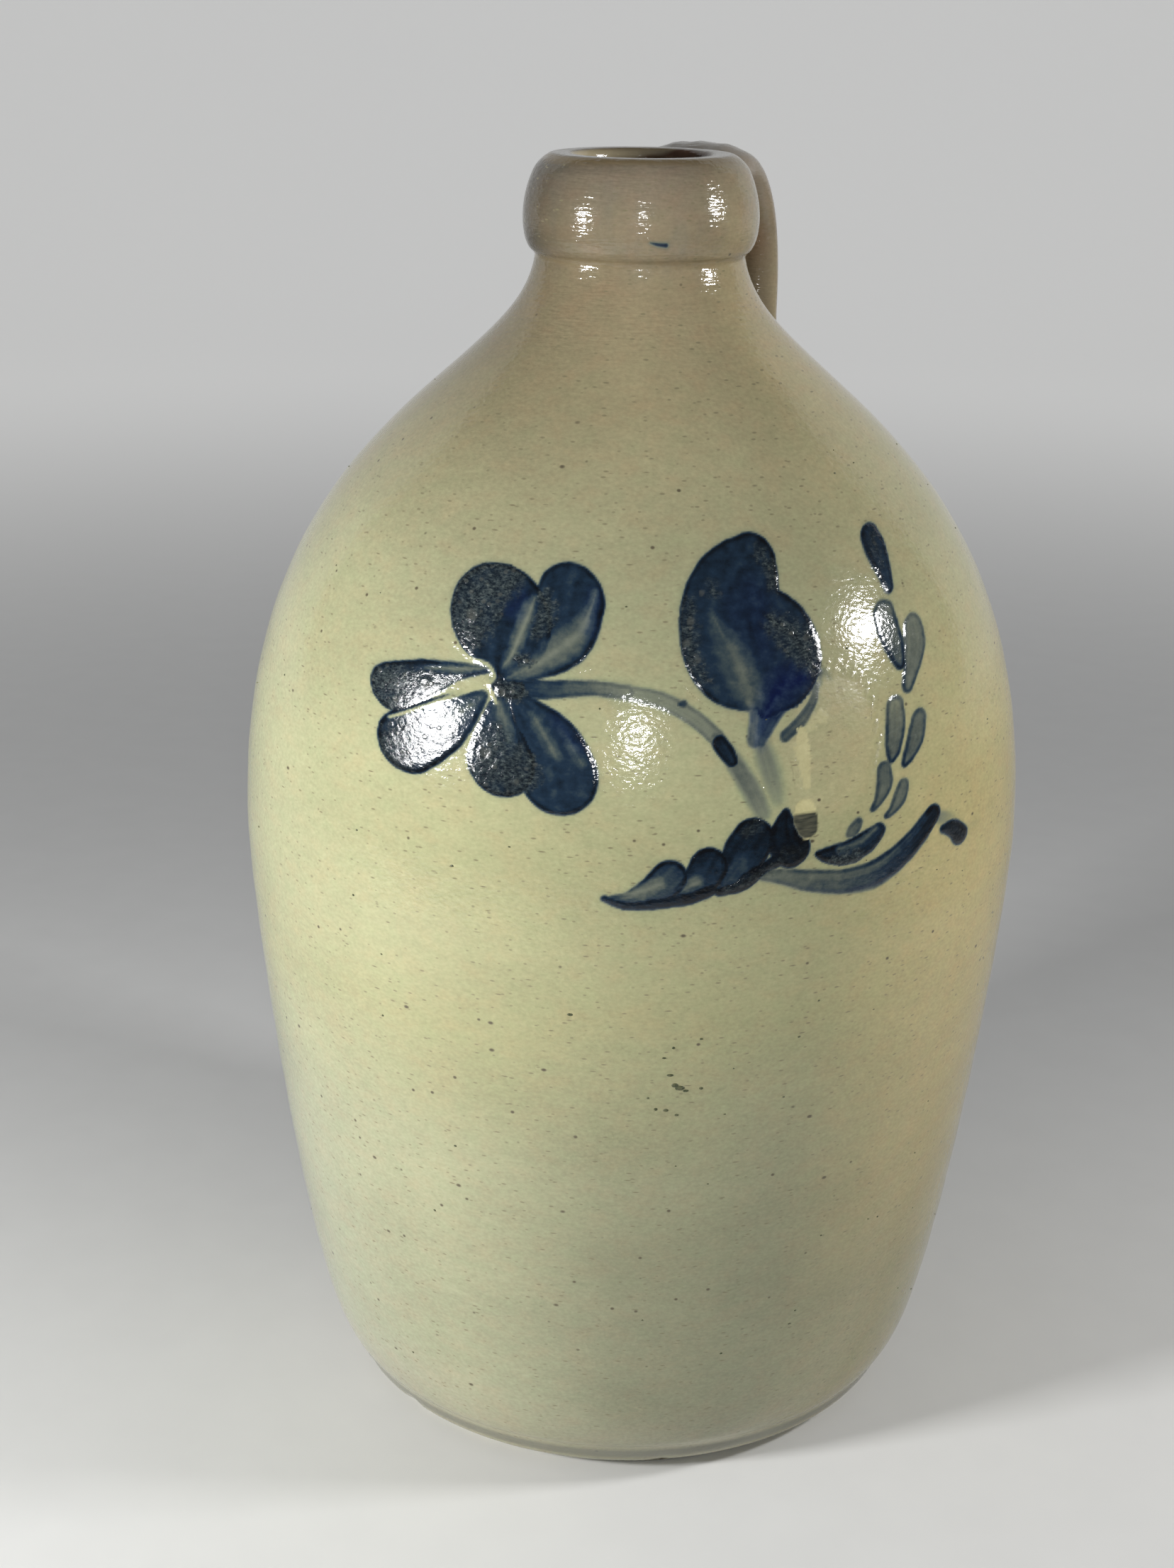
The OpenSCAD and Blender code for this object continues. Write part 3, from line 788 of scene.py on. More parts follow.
def makeHandle():
    sides, rings, fillet = handle["sides"], handle["rings"], handle["filletRings"]
    turns = [2 * math.pi * j / sides for j in range(sides)]
    upper, lower = (endLoop(turns, handle[end]) for end in ("upperEnd", "lowerEnd"))
    total = rings + 2 * fillet
    share = handle["thumbShare"]
    thick = smoothRow(shareRows, share * (len(shareRows) - 1)).y * handle["thickness"] / 2
    ball = beside(downCurve, 2 * share - 1, handle["thumbDepth"] - handle["thumbRadius"] - thick)
    thumb = Vector((0, ball.x, ball.y))

    def filletPoint(j, t, loop):
        starts, meets, ends = loop
        return (1 - t) ** 2 * ends[j] + 2 * t * (1 - t) * meets[j] + t * t * strapPoint(starts[j], turns[j])

    def place(i, j):
        j %= sides
        if i < fillet:
            point = filletPoint(j, i / fillet, upper)
        elif i > total - fillet:
            point = filletPoint(j, (total - i) / fillet, lower)
        else:
            first, last = upper[0][j], lower[0][j]
            point = strapPoint(first + (last - first) * (i - fillet) / rings, turns[j])
        press = handle["thumbRadius"] + 1 - (point - thumb).length
        if press > 0:
            point = point + (point - thumb).normalized() * press * press / (press + 1)
        return point

    mesh = bmesh.new()
    bmesh.ops.create_grid(mesh, x_segments=total, y_segments=sides, size=0.5)
    for corner in mesh.verts:
        i = round((corner.co.x + 0.5) * total)
        j = round((corner.co.y + 0.5) * sides)
        corner.co = place(i, j) * mm
    bmesh.ops.remove_doubles(mesh, verts=mesh.verts, dist=0.000005)
    rims = [edge for edge in mesh.edges if edge.is_boundary]
    bmesh.ops.holes_fill(mesh, edges=rims, sides=0)
    bmesh.ops.recalc_face_normals(mesh, faces=mesh.faces)
    places = meshPlaces(mesh)
    heights, reaches = zip(*handle["middle"])
    middle = np.interp(places[:, 2], heights, reaches)
    # painted shade on the strap's face toward the neck
    innerFaceShade = smoothStep(middle - places[:, 1], 0.5, 3.5) * smoothStep(places[:, 1], 26, 32)
    redBrownHeight, spread = handle["heat"]
    heat = hill(places[:, 2] - redBrownHeight, spread) * innerFaceShade
    strong = handle["strengths"]
    finishPiece("strapHandle", mesh, makeHandleMaterial(), ["strap_handle", "upper_join", "lower_join"],
                {"inside": strong["inside"] * innerFaceShade, "redBrown": strong["redBrown"] * heat})


makeHandle()
print("handle made")


# the brushed spray, drawn in a plane and laid on the side; lengths in millimetres
spray = {
    "size": 25.0,
    "turn": 30.0,
    "height": 189.0,
    "cell": 0.34,
    "skin": 0.35,
    "margin": 3.6,
    "influence": 5.0,
    "far": 99.0,
    "steps": 12,
    "relief": 0.18,
    "crustRelief": 0.055,
    "bubbleRelief": 0.07,
    "ridgeRelief": 0.06,
    "halo": 0.17,
    "haloReach": 0.6,
    # hairs of the brush: amount, lines across, shift between strokes and lean
    "hairs": [(0.035, 9, 1, 2), (0.03, 17, 3, 0)],
    # pigment pools this far inside an edge, over this width, and leaves a ridge: its height, place and width
    "pooled": (0.5, 0.42),
    "edgeRidge": (0.36, 0.6, 0.4),
    "pale": {"ragged": 0.2, "load": 0.2, "relief": 0.4},
    "crustRagged": 0.9,
    "crustLoad": 0.88,
    "blueRagged": 0.3,
    "wash": 0.4,
    "oneShape": ("bud", "sprigKnot"),
    # how ragged the edges are: amount, scale and seed
    "ragged": [(0.1, 5.0, 1), (0.05, 1.6, 2)],
    "torn": (90, -10, 22),
}

# each stroke in hundredths of the spray's size: its spine of across, up and half width, then the pigment at its
# start and end, its pooling at the edge and its softness; softer ones than "wash" have no raised edge
strokes = {
    "blossomPetals": [
        ([(-142, 6, 3), (-140, 16, 13), (-138, 29, 28), (-138, 42.5, 38.5)], 0.75, 0.8, 0.14, 0.25),
        ([(-137, 3, 4), (-113, 17, 14), (-93, 37, 24), (-85, 60, 26)], 0.72, 0.74, 0.14, 0.25),
        ([(-150, 6, 3), (-176, 1, 7), (-197, -7, 13), (-222, -19, 18)], 0.7, 0.82, 0.14, 0.25),
        ([(-154, -13, 4), (-172, -28, 14), (-191, -43, 21), (-212, -57, 24)], 0.6, 0.82, 0.18, 0.22),
        ([(-141, -13, 5), (-143, -30, 12), (-142, -46, 20), (-141, -61, 26)], 0.55, 0.82, 0.14, 0.25),
        ([(-132, -10, 5), (-118, -26, 15), (-104, -46, 25), (-98, -67, 30)], 0.74, 0.72, 0.14, 0.25),
    ],
    "blossomEye": [
        ([(-144, -4, 6), (-135, -6, 8), (-128, -6, 7)], 0.85, 0.85, 0.1, 0.25),
    ],
    "blossomStem": [
        ([(-129, -5, 7), (-106, -4, 7), (-74, -1, 6), (-45, -3, 6)], 0.8, 0.24, 0.1, 0.28),
        ([(-50, -3, 6), (-21, -8, 7), (5, -21, 7), (23, -36, 7)], 0.24, 0.28, 0.08, 0.35),
        ([(26, -41, 6.5), (31, -48, 6.5), (35, -54, 5.5)], 0.88, 0.75, 0.15, 0.3),
        ([(23, -36, 6), (40, -60, 8), (52, -80, 9), (60, -96, 8)], 0.42, 0.26, 0.0, 1.0),
        ([(-5, -11.5, 2), (-2, -11, 3)], 0.6, 0.6, 0.0, 0.3),
    ],
    "bud": [
        ([(55, -12, 7), (45, 3, 21), (37, 22, 35), (34, 42, 37.5), (41.5, 62, 37),
          (56, 84, 22)], 0.68, 0.78, 0.16, 0.25),
        ([(62, -20, 6), (70, -5, 18), (79, 13, 31), (76, 30, 30), (68, 46, 22)], 0.7, 0.76, 0.16, 0.25),
    ],
    "budStalk": [
        ([(59, -9, 12), (57, -23, 8), (55, -39, 8)], 0.5, 0.42, 0.0, 0.6),
        ([(77, -14, 7), (68, -24, 7), (62, -36, 5)], 0.68, 0.6, 0.0, 0.5),
        ([(68, -12, 12), (63, -26, 8), (59, -42, 5)], 0.66, 0.5, 0.0, 0.6),
        ([(106, -5, 3), (102, -17, 4), (92, -29, 5), (79, -39, 5)], 0.3, 0.5, 0.1, 0.3),
        ([(57, -38, 7), (65, -62, 10), (72, -86, 8)], 0.34, 0.2, 0.0, 1.4),
        ([(109, 9, 2), (115, 2, 4), (120, -3, 2)], 0.26, 0.14, 0.0, 0.8),
        ([(110, 5, 3), (109, -4, 3)], 0.3, 0.22, 0.0, 0.5),
    ],
    "frond": [
        ([(164, 92, 9), (168, 83, 10), (173, 70, 8), (177, 55, 5)], 0.84, 0.7, 0.1, 0.25),
        ([(170, 37, 11), (173, 26, 11), (179, 11, 9), (183, -1, 5)], 0.36, 0.5, 0.32, 0.25),
        ([(197, 23, 10), (198, 10, 12), (194, -5, 9), (189, -18, 6)], 0.3, 0.34, 0.26, 0.25),
        ([(176, -31, 9), (176, -46, 10), (174, -62, 8), (172, -70, 4)], 0.26, 0.4, 0.36, 0.25),
        ([(199, -45, 8), (196, -58, 9), (190, -69, 7), (185, -76, 4)], 0.34, 0.42, 0.34, 0.25),
        ([(165, -77, 7), (165, -89, 8), (160, -100, 5), (155, -106, 3)], 0.4, 0.34, 0.24, 0.25),
        ([(183, -93, 6), (180, -102, 7), (174, -110, 5), (168, -114, 3)], 0.36, 0.36, 0.26, 0.25),
        ([(142, -114, 4), (138, -119, 6), (134, -122, 4)], 0.5, 0.3, 0.1, 0.35),
    ],
    "sprigLeaves": [
        ([(-59, -161, 3), (-44, -162, 8), (-28, -156, 13), (-14, -144, 15)], 0.5, 0.66, 0.26, 0.25),
        ([(-5, -156, 7), (5, -151, 12), (13, -143, 15), (17, -136, 16)], 0.62, 0.8, 0.2, 0.25),
        ([(29, -152, 5), (37, -141, 11), (45, -128, 18), (52, -117, 18)], 0.7, 0.88, 0.12, 0.25),
        ([(160, -125, 7), (149, -132, 10), (132, -137, 10), (117, -136, 7), (107, -134, 3)], 0.74, 0.85, 0.2, 0.25),
        ([(-64, -161, 3), (-46, -166, 4), (-22, -164, 5), (3, -160, 5.5), (20, -154, 5)], 0.85, 0.95, 0.0, 0.3),
    ],
    "sprigKnot": [
        ([(79, -98, 4), (78, -109, 10), (80, -120, 16), (84, -126, 16)], 0.88, 0.98, 0.05, 0.25),
        ([(26, -156, 4), (40, -153, 5), (49, -147, 7), (60, -140, 5), (76, -133, 6)], 0.95, 0.95, 0.0, 0.25),
    ],
    "sprigCurl": [
        ([(53, -146, 3), (71, -147, 6), (98, -154, 9), (129, -160, 10.5), (156, -159, 11.5), (179, -151, 11.5),
          (198, -138, 10), (213, -125, 8.5)], 0.24, 0.92, 0.16, 0.35),
        ([(110, -162, 2), (136, -168, 3.5), (162, -166, 5), (186, -153, 6), (205, -139, 5)], 0.55, 0.9, 0.0, 0.7),
        ([(225, -140, 4), (235, -143, 7), (244, -152, 8.5)], 0.9, 0.98, 0.05, 0.35),
        ([(214, -126, 5), (225, -131, 7), (238, -136, 5)], 0.36, 0.12, 0.0, 0.9),
        ([(250, -150, 5), (266, -148, 3)], 0.1, 0.07, 0.0, 0.9),
    ],
}

# where the brush left less or more: a spine, how strongly and how softly
paleStreaks = [
    ([(-113, 59, 2), (-118, 48, 5), (-125, 32, 4.5), (-131, 18, 4), (-137, 10, 2)], 0.85, 0.9),
    ([(-66, 66, 1), (-71, 54, 3), (-82, 36, 8.5), (-99, 23, 8.5), (-114, 12, 6), (-134, 2, 2)], 0.78, 1.1),
    ([(-117, -23, 2), (-110, -34, 4), (-100, -51, 4)], 0.6, 0.9),
    ([(-92, -37, 1), (-87, -46, 3), (-80, -57, 2)], 0.45, 0.8),
    ([(-141, -19, 2), (-138, -30, 4), (-135, -44, 3)], 0.5, 0.9),
    ([(-197, 0, 1), (-175, 3, 3), (-152, 7, 2)], 0.75, 0.5),
    ([(-163, -20, 2), (-173, -29, 5), (-183, -36, 5)], 0.5, 0.9),
    ([(22, 53, 1), (28, 41, 3), (36, 27, 8), (44, 12, 11), (50, -3, 10), (52, -12, 7)], 0.6, 1.6),
    ([(-50, -158, 2), (-36, -154, 5), (-22, -148, 5)], 0.75, 0.8),
    ([(-2, -153, 2), (8, -147, 5)], 0.7, 0.8),
    ([(33, -149, 3), (42, -139, 6), (48, -129, 4)], 0.32, 1.3),
    ([(157, -122, 2), (144, -130, 3), (125, -133, 3)], 0.6, 0.6),
    ([(102, -151, 3), (130, -154, 4), (160, -152, 3), (187, -137, 3), (204, -124, 3)], 0.4, 0.8),
]
crusts = [
    ([(-160, 28, 8), (-160, 45, 18), (-148, 62, 16), (-130, 72, 10)], 0.8, 0.9),
    ([(-104, 62, 5), (-103, 50, 7), (-112, 36, 5)], 0.75, 0.6),
    ([(-224, -20, 16), (-198, -12, 10), (-172, -4, 3)], 0.85, 0.7),
    ([(-184, -42, 12), (-202, -52, 18), (-218, -62, 16)], 0.7, 0.8),
    ([(-145, -36, 6), (-145, -60, 22), (-125, -66, 14)], 0.75, 0.9),
    ([(-142, -6, 6), (-128, -7, 7)], 0.8, 0.5),
    ([(-124, 15.5, 5), (-121, 16, 5)], 0.9, 0.35),
    ([(72, 42, 7), (86, 32, 12), (98, 20, 12), (105, 8, 6)], 0.85, 1.2),
    ([(6, 60, 4), (4, 42, 7), (6, 22, 6), (16, 6, 4)], 0.75, 1.0),
    ([(64, 92, 4), (72, 80, 5), (74, 66, 3)], 0.7, 0.7),
    ([(24, 70, 4), (26, 66, 4)], 0.6, 1.2),
    ([(46, -110, 4), (56, -105, 5)], 0.4, 0.6),
    ([(80, -130, 6), (92, -132, 5)], 0.15, 0.5),
    ([(30, -156, 4), (50, -149, 5), (76, -137, 4)], 0.4, 0.4),
    ([(120, -141, 5), (140, -142, 6)], 0.85, 0.4),
    ([(236, -146, 8), (244, -154, 7)], 0.1, 0.5),
    ([(171, 36, 7), (174, 24, 8), (179, 10, 5)], 0.3, 0.4),
    ([(197, 21, 6), (196, 6, 7), (192, -8, 4)], 0.24, 0.4),
    ([(176, -35, 5), (175, -50, 6), (173, -64, 4)], 0.3, 0.4),
    ([(197, -50, 5), (191, -66, 4)], 0.3, 0.4),
    ([(166, 90, 4), (172, 72, 3)], 0.4, 0.4),
]
blues = [
    ([(60, -34, 6), (68, -16, 10), (78, -2, 14), (92, 2, 10), (104, 6, 5)], 1.0, 2.2),
    ([(55, 55, 20), (66, 25, 15)], 0.35, 3.5),
    ([(56, -42, 5), (59, -24, 10)], 0.8, 1.6),
    ([(-128, 50, 8), (-122, 60, 6)], 0.5, 1.6),
    ([(-72, 40, 5), (-66, 62, 6)], 0.5, 1.8),
    ([(-100, -24, 4), (-84, -44, 5)], 0.5, 1.6),
]
bubbles = [(-197, -12, 1.3), (-153, -55, 1.5), (-160, 43, 1.5), (6, 47, 1.1), (2, 32, 1.0), (16, 66, 0.8),
           (-139, -9, 1.0), (10, 20, 0.9), (98, 30, 0.9), (-220, -28, 0.8), (-130, -74, 0.8)]
ridges = [
    [(-175, 23, 0.8), (-164, 13, 1), (-150, 9.5, 1.2), (-145.5, 2, 1.4), (-150, -4, 1.2), (-165, -11, 1.2),
      (-187, -22, 1.2), (-212, -35, 1), (-226, -42, 0.6)],
    [(-150, -4, 1), (-147, -10, 1.2), (-144, -17, 0.8)],
]
kiss = {
    "centre": (117, -50),
    "reach": (43, 58),
    "edge": 1.33,
    "ashLine": -25.0,
    "scarWidth": 0.085,
    "tanFade": (0.8, 1.02),
    "rises": {"brim": 0.05, "scar": 0.14, "crumbs": 0.05},
    "bare": {"strip": 0.65, "crumbs": 0.4},
    "cell": 0.4,
    "strip": [(93, -39, 5), (93, -50, 6), (95, -63, 4.5), (96.5, -78, 3.5)],
    "spot": [(95, -97, 8.5), (95.5, -104, 10), (97.5, -111, 9)],
    "tip": [(95, -118.5, 2), (98, -119, 2)],
    "crumbs": [(84, -35, 5), (97, -31, 7), (113, -28, 4)],
}


unit = spray["size"] / 100


# from points on the spray's plane: the gap to a stroke's edge, the share along it and the place across it
def strokeField(points, rows):
    ends = [Vector(row) * unit for row in rows]
    steps = spray["steps"] * (len(ends) - 1)
    spine = np.array([smoothRow(ends, k / spray["steps"]) for k in range(steps + 1)])
    gaps = points[:, None, :] - spine[None, :, :2]
    distance = np.hypot(gaps[..., 0], gaps[..., 1]) - spine[None, :, 2]
    nearest = distance.argmin(1)
    run = np.gradient(spine[:, :2], axis=0)[nearest]
    gap = gaps[np.arange(len(points)), nearest]
    side = (run[:, 0] * gap[:, 1] - run[:, 1] * gap[:, 0]) / (np.hypot(run[:, 0], run[:, 1]) * spine[nearest, 2])
    return distance.min(1), nearest / steps, side


# six crossed waves, for ragged edges
def waves(points, scale, seed):
    total = np.zeros(len(points))
    for k in range(6):
        turn = 1.1 * k + 0.7 * seed
        pitch = (1 + 0.45 * k) / scale
        total += np.sin(pitch * (points[:, 0] * math.cos(turn) + points[:, 1] * math.sin(turn)) * 2 * math.pi
                        + 3.1 * k + seed) / (1 + 0.5 * k)
    return total / 3


def boxOf(rows, margin):
    return ([min(row[k] - row[2] for row in rows) * unit - margin for k in (0, 1)],
            [max(row[k] + row[2] for row in rows) * unit + margin for k in (0, 1)])


def nearBy(points, rows):
    low, high = boxOf(rows, spray["influence"])
    return (points.min(0) < high).all() and (points.max(0) > low).all()


def softMask(points, rows, soft, ragged):
    gap, along, side = strokeField(points, rows)
    gap = gap + ragged * waves(points, 2.6, len(rows)) + 0.5 * ragged * waves(points, 1.1, 4)
    return smoothStep(-gap, -soft, soft) * (0.85 + 0.15 * np.sin(5 * side + 3 * along))


def mostMask(points, lines, ragged):
    masks = [strength * softMask(points, rows, soft, ragged) for rows, strength, soft in lines if nearBy(points, rows)]
    return np.max([np.zeros(len(points))] + masks, axis=0)


# the brushed pigment, its raised edges, and the gap to each piece's own strokes
def paintStrokes(points):
    count = len(points)
    load, relief, nearest = np.zeros(count), np.zeros(count), {}
    poolPlace, poolWidth = spray["pooled"]
    ridge, ridgePlace, ridgeWidth = spray["edgeRidge"]
    ragged = sum(amount * waves(points, scale, seed) for amount, scale, seed in spray["ragged"])
    for piece, parts in strokes.items():
        nearest[piece] = np.full(count, spray["far"])
        whole = None
        if piece in spray["oneShape"]:
            firm = [rows for rows, first, last, pool, soft in parts if soft < spray["wash"]]
            whole = np.min([strokeField(points, rows)[0] for rows in firm], axis=0) + ragged
        for seed, (rows, first, last, pool, soft) in enumerate(parts):
            if not nearBy(points, rows):
                continue
            gap, along, side = strokeField(points, rows)
            gap = gap + ragged
            if piece == "bud":
                x, y, reach = spray["torn"]
                torn = np.hypot(points[:, 0] / unit - x, points[:, 1] / unit - y)
                gap = gap + 0.4 * hill(torn, reach) * waves(points, 1.5, 8)
            nearest[piece] = np.minimum(nearest[piece], gap)
            inside = smoothStep(-gap, -soft, soft * 1.3)
            hair = 1 + sum(amount * np.sin(lines * side + shift * seed + lean * along)
                           for amount, lines, shift, lean in spray["hairs"])
            rim = gap if whole is None else whole
            pooled = pool * (0.6 + 0.6 * along) * hill(rim + poolPlace, poolWidth)
            load = np.maximum(load, inside * np.clip((first + (last - first) * along) * hair + pooled, 0, 1))
            if soft < spray["wash"]:
                full = (first + last) / 2
                halo = spray["halo"] * np.exp(-np.maximum(gap, 0) / spray["haloReach"])
                load = np.maximum(load, halo * min(1.0, 2 * full))
                relief = np.maximum(relief, (0.35 + 0.65 * full) * smoothStep(-rim, -0.2, 1.0)
                                    + ridge * pool * hill(rim + ridgePlace, ridgeWidth))
    return load, relief, nearest


# the round mark where another pot touched this one in the kiln
def paintKiss(points, load):
    over, up = ((points[:, k] / unit - kiss["centre"][k]) / kiss["reach"][k] for k in (0, 1))
    out = np.hypot(over, up) + 0.05 * waves(points, 12, 3)
    beads = smoothStep(waves(points, 2.0, 4), 0.0, 0.5)
    scar = hill(out - 1, kiss["scarWidth"]) * beads * smoothStep(over + up, 0.1, 0.9)
    ragged = 0.45 * waves(points, 2.6, 5) + 0.25 * waves(points, 1.0, 3)
    strip, spot, tip, crumbs = (strokeField(points, kiss[name])[0] for name in ("strip", "spot", "tip", "crumbs"))
    strip, spot = strip + ragged, spot + 0.12 * waves(points, 2.6, 6)
    crumbs = smoothStep(-crumbs - 2.2 * ragged, -0.2, 0.4) * (1 - smoothStep(load, 0.04, 0.15))
    inStrip, inSpot = smoothStep(-strip, -0.15, 0.2), smoothStep(-spot, -0.15, 0.15)
    lower = smoothStep(kiss["ashLine"] - points[:, 1], -0.3, 0.3)
    shares, rises = kiss["bare"], kiss["rises"]
    bare = np.max([shares["strip"] * inStrip, inSpot * (1 - lower), smoothStep(-tip, -0.1, 0.2),
                   shares["crumbs"] * crumbs], axis=0)
    cleared = np.maximum(inStrip, inSpot)
    brim = hill(np.minimum(strip, spot) - 0.25, 0.25)
    rise = rises["brim"] * brim + rises["scar"] * scar + rises["crumbs"] * crumbs
    return out, cleared, rise, {"scar": scar, "tan": 1 - smoothStep(out, *kiss["tanFade"]), "bare": bare,
                                "ash": inSpot * lower}


def paintSpray(points):
    load, relief, nearest = paintStrokes(points)
    covered = smoothStep(load, 0.1, 0.3)
    pale = spray["pale"]
    for rows, strength, soft in paleStreaks:
        if nearBy(points, rows):
            streak = softMask(points, rows, soft, pale["ragged"]) * strength
            load = load + (np.minimum(load, pale["load"]) - load) * streak
            relief *= 1 - pale["relief"] * streak
    crust = mostMask(points, crusts, spray["crustRagged"]) * covered
    blue = mostMask(points, blues, spray["blueRagged"])
    load = np.maximum(load, spray["crustLoad"] * crust)
    rough = np.zeros(len(points))
    for k in np.flatnonzero(crust > 0.02):
        x, y = points[k]
        rough[k] = noise.noise(Vector((x * 1.1, y * 1.6, 1))) + 0.5 * noise.noise(Vector((x * 2.4, y * 3.4, 5)))
    relief = relief * spray["relief"] + spray["crustRelief"] * crust * rough
    ring = np.zeros(len(points))
    for x, y, reach in bubbles:
        away = np.hypot(points[:, 0] - x * unit, points[:, 1] - y * unit) + 0.12 * waves(points, 1.7, 7)
        ring = np.maximum(ring, 0.8 * smoothStep(-away, -0.8 * reach, -0.5 * reach))
        relief = relief + spray["bubbleRelief"] * hill(away - reach * 0.75, 0.28)
    for rows in ridges:
        if nearBy(points, rows):
            line = hill(np.maximum(strokeField(points, rows)[0], 0), 0.22)
            relief = relief + spray["ridgeRelief"] * line
            load = load * (1 - 0.85 * line)
            crust = crust * (1 - line)
    out, cleared, rise, marks = paintKiss(points, load)
    load, crust, blue = (painted * (1 - cleared) for painted in (load, crust, blue))
    marks.update(load=load, crust=crust, blue=blue, bubble=ring * smoothStep(load, 0.3, 0.6))
    closest = np.min(list(nearest.values()), axis=0)
    relief = relief * (1 - cleared) + rise
    relief = relief * (1 - smoothStep(closest, 1.4, 3.0) * smoothStep(out, 1.1, 1.25))
    lift = np.maximum(0.02 - 0.032 * smoothStep(closest, 0.6, 3.3), 0.014 - 0.03 * smoothStep(out, 1.12, 1.33))
    return relief + lift, marks, nearest, out


# the blue slip, from bare glaze to a full load of pigment
cobalt = {
    "ramp": [
        (0.0, (0.31, 0.325, 0.24)),
        (0.22, (0.205, 0.222, 0.172)),
        (0.38, (0.115, 0.134, 0.112)),
        (0.55, (0.042, 0.064, 0.074)),
        (0.7, (0.012, 0.028, 0.052)),
        (0.85, (0.005, 0.012, 0.022)),
        (1.0, (0.002, 0.003, 0.005)),
    ],
    "blueRamp": [
        (0.0, (0.31, 0.335, 0.28)),
        (0.25, (0.15, 0.19, 0.22)),
        (0.5, (0.035, 0.065, 0.125)),
        (0.75, (0.002, 0.008, 0.05)),
        (1.0, (0.002, 0.004, 0.015)),
    ],
    "thin": (0.66, 0.74, 0.8),
    "crustRamp": [(0.42, (0.006, 0.01, 0.014)), (0.56, (0.05, 0.065, 0.066)), (0.74, (0.19, 0.22, 0.2))],
    "scab": (0.11, 0.115, 0.1),
    "tan": (1.07, 1.03, 1.03),
    # the ring where another pot touched: a real rough mark, its pale tint partly a painted highlight on its bumps
    "ring": (0.58, 0.54, 0.37),
    "bareRamp": [(0.3, (0.56, 0.51, 0.25)), (0.7, (0.69, 0.63, 0.33))],
    "ashRamp": [(0.35, (0.025, 0.03, 0.02)), (0.7, (0.13, 0.125, 0.08))],
    # each noise: stretch, scale, detail and roughness
    "cloud": ((1, 1, 1.3), 420, 3, 0.6),
    "flecks": ((1, 1, 2.0), 1000, 4, 0.75),
    "bands": ((0.3, 0.3, 1.6), 900, 2, 0.5),
    "scabs": (1.3, 620),
    "uneven": 0.42,
    # the loads between which each sets in
    "thinFade": (0.0, 0.24),
    "unevenFade": (0.1, 0.5),
    "pigmentFade": (0.1, 0.34),
    "scabEdge": (0.42, 0.22),
    "scabChance": (0.72, 0.8),
    "strengths": {"scar": 0.6, "scab": 0.6, "bubble": 0.5},
    "dull": {"bare": 0.35, "tan": 0.16},
    "relief": {"crust": 0.8, "scab": 0.5, "scar": 1.2},
}


def makeCobaltMaterial():
    material, tree, shader, place = newMaterial("blueSlip")
    colour, rough, height = useGlaze(tree, place)
    tan, scar, load, crust, bare, ash = (mark(tree, name) for name in ("tan", "scar", "load", "crust", "bare", "ash"))
    cloud, flecks, bands = (clouds(tree, stretched(tree, place, stretch), *rest)
                            for stretch, *rest in (cobalt[name] for name in ("cloud", "flecks", "bands")))
    colour = blend(tree, tan, colour, tinted(tree, colour, cobalt["tan"]))
    strong, dullness, reliefs = cobalt["strengths"], cobalt["dull"], cobalt["relief"]
    # the ring where another pot touched, its pale tint partly a painted highlight on its bumps
    colour = blend(tree, times(tree, scar, strong["scar"]), colour, cobalt["ring"])
    colour = blend(tree, span(tree, load, *cobalt["thinFade"]), colour, tinted(tree, colour, cobalt["thin"]))
    uneven = times(tree, minus(tree, cloud, 0.5), cobalt["uneven"])
    mixed = plus(tree, load, times(tree, uneven, span(tree, load, *cobalt["unevenFade"])), True)
    pigment = blend(tree, mark(tree, "blue"), ramp(tree, mixed, cobalt["ramp"]), ramp(tree, mixed, cobalt["blueRamp"]))
    colour = blend(tree, span(tree, load, *cobalt["pigmentFade"]), colour, pigment)
    colour = blend(tree, crust, colour, ramp(tree, flecks, cobalt["crustRamp"]))
    distance, chance = cells(tree, place, *cobalt["scabs"])
    scab = times(tree, span(tree, distance, *cobalt["scabEdge"]), span(tree, chance, *cobalt["scabChance"]))
    scab = times(tree, scab, crust)
    for spots, name in ((scab, "scab"), (mark(tree, "bubble"), "bubble")):
        colour = blend(tree, times(tree, spots, strong[name]), colour, cobalt["scab"])
    colour = blend(tree, bare, colour, ramp(tree, cloud, cobalt["bareRamp"]))
    colour = blend(tree, ash, colour, ramp(tree, bands, cobalt["ashRamp"]))
    dull = times(tree, sums(tree, "MAXIMUM", bare, ash), dullness["bare"])
    dull = plus(tree, dull, times(tree, tan, dullness["tan"]))
    rough = plus(tree, rough, dull, True)
    height = plus(tree, height, times(tree, times(tree, flecks, crust), reliefs["crust"]))
    height = plus(tree, height, times(tree, scab, reliefs["scab"]))
    height = plus(tree, height, times(tree, times(tree, flecks, scar), reliefs["scar"]))
    wire(tree, shader, colour, rough, height)
    return material


cobaltMaterial = makeCobaltMaterial()


# from the spray's plane to the side, seen straight on
def drape(points):
    z = spray["height"] + points[:, 1]
    angle = math.radians(spray["turn"]) + np.arcsin(np.clip(points[:, 0] / np.interp(z, wallZ, wallR), -0.97, 0.97))
    return wallPoint(angle, z)


def patchMesh(low, high, cell):
    wide, tall = high[0] - low[0], high[1] - low[1]
    mesh = bmesh.new()
    bmesh.ops.create_grid(mesh, x_segments=round(wide / cell), y_segments=round(tall / cell), size=0.5)
    flat = np.array([v.co[:2] for v in mesh.verts])
    return mesh, np.array(low) + (flat + 0.5) * (wide, tall)


def trimPatch(mesh, keep):
    spare = [corner for corner, kept in zip(mesh.verts, keep) if not kept]
    bmesh.ops.delete(mesh, geom=spare, context="VERTS")
    lone = [corner for corner in mesh.verts if not corner.link_faces]
    bmesh.ops.delete(mesh, geom=lone, context="VERTS")


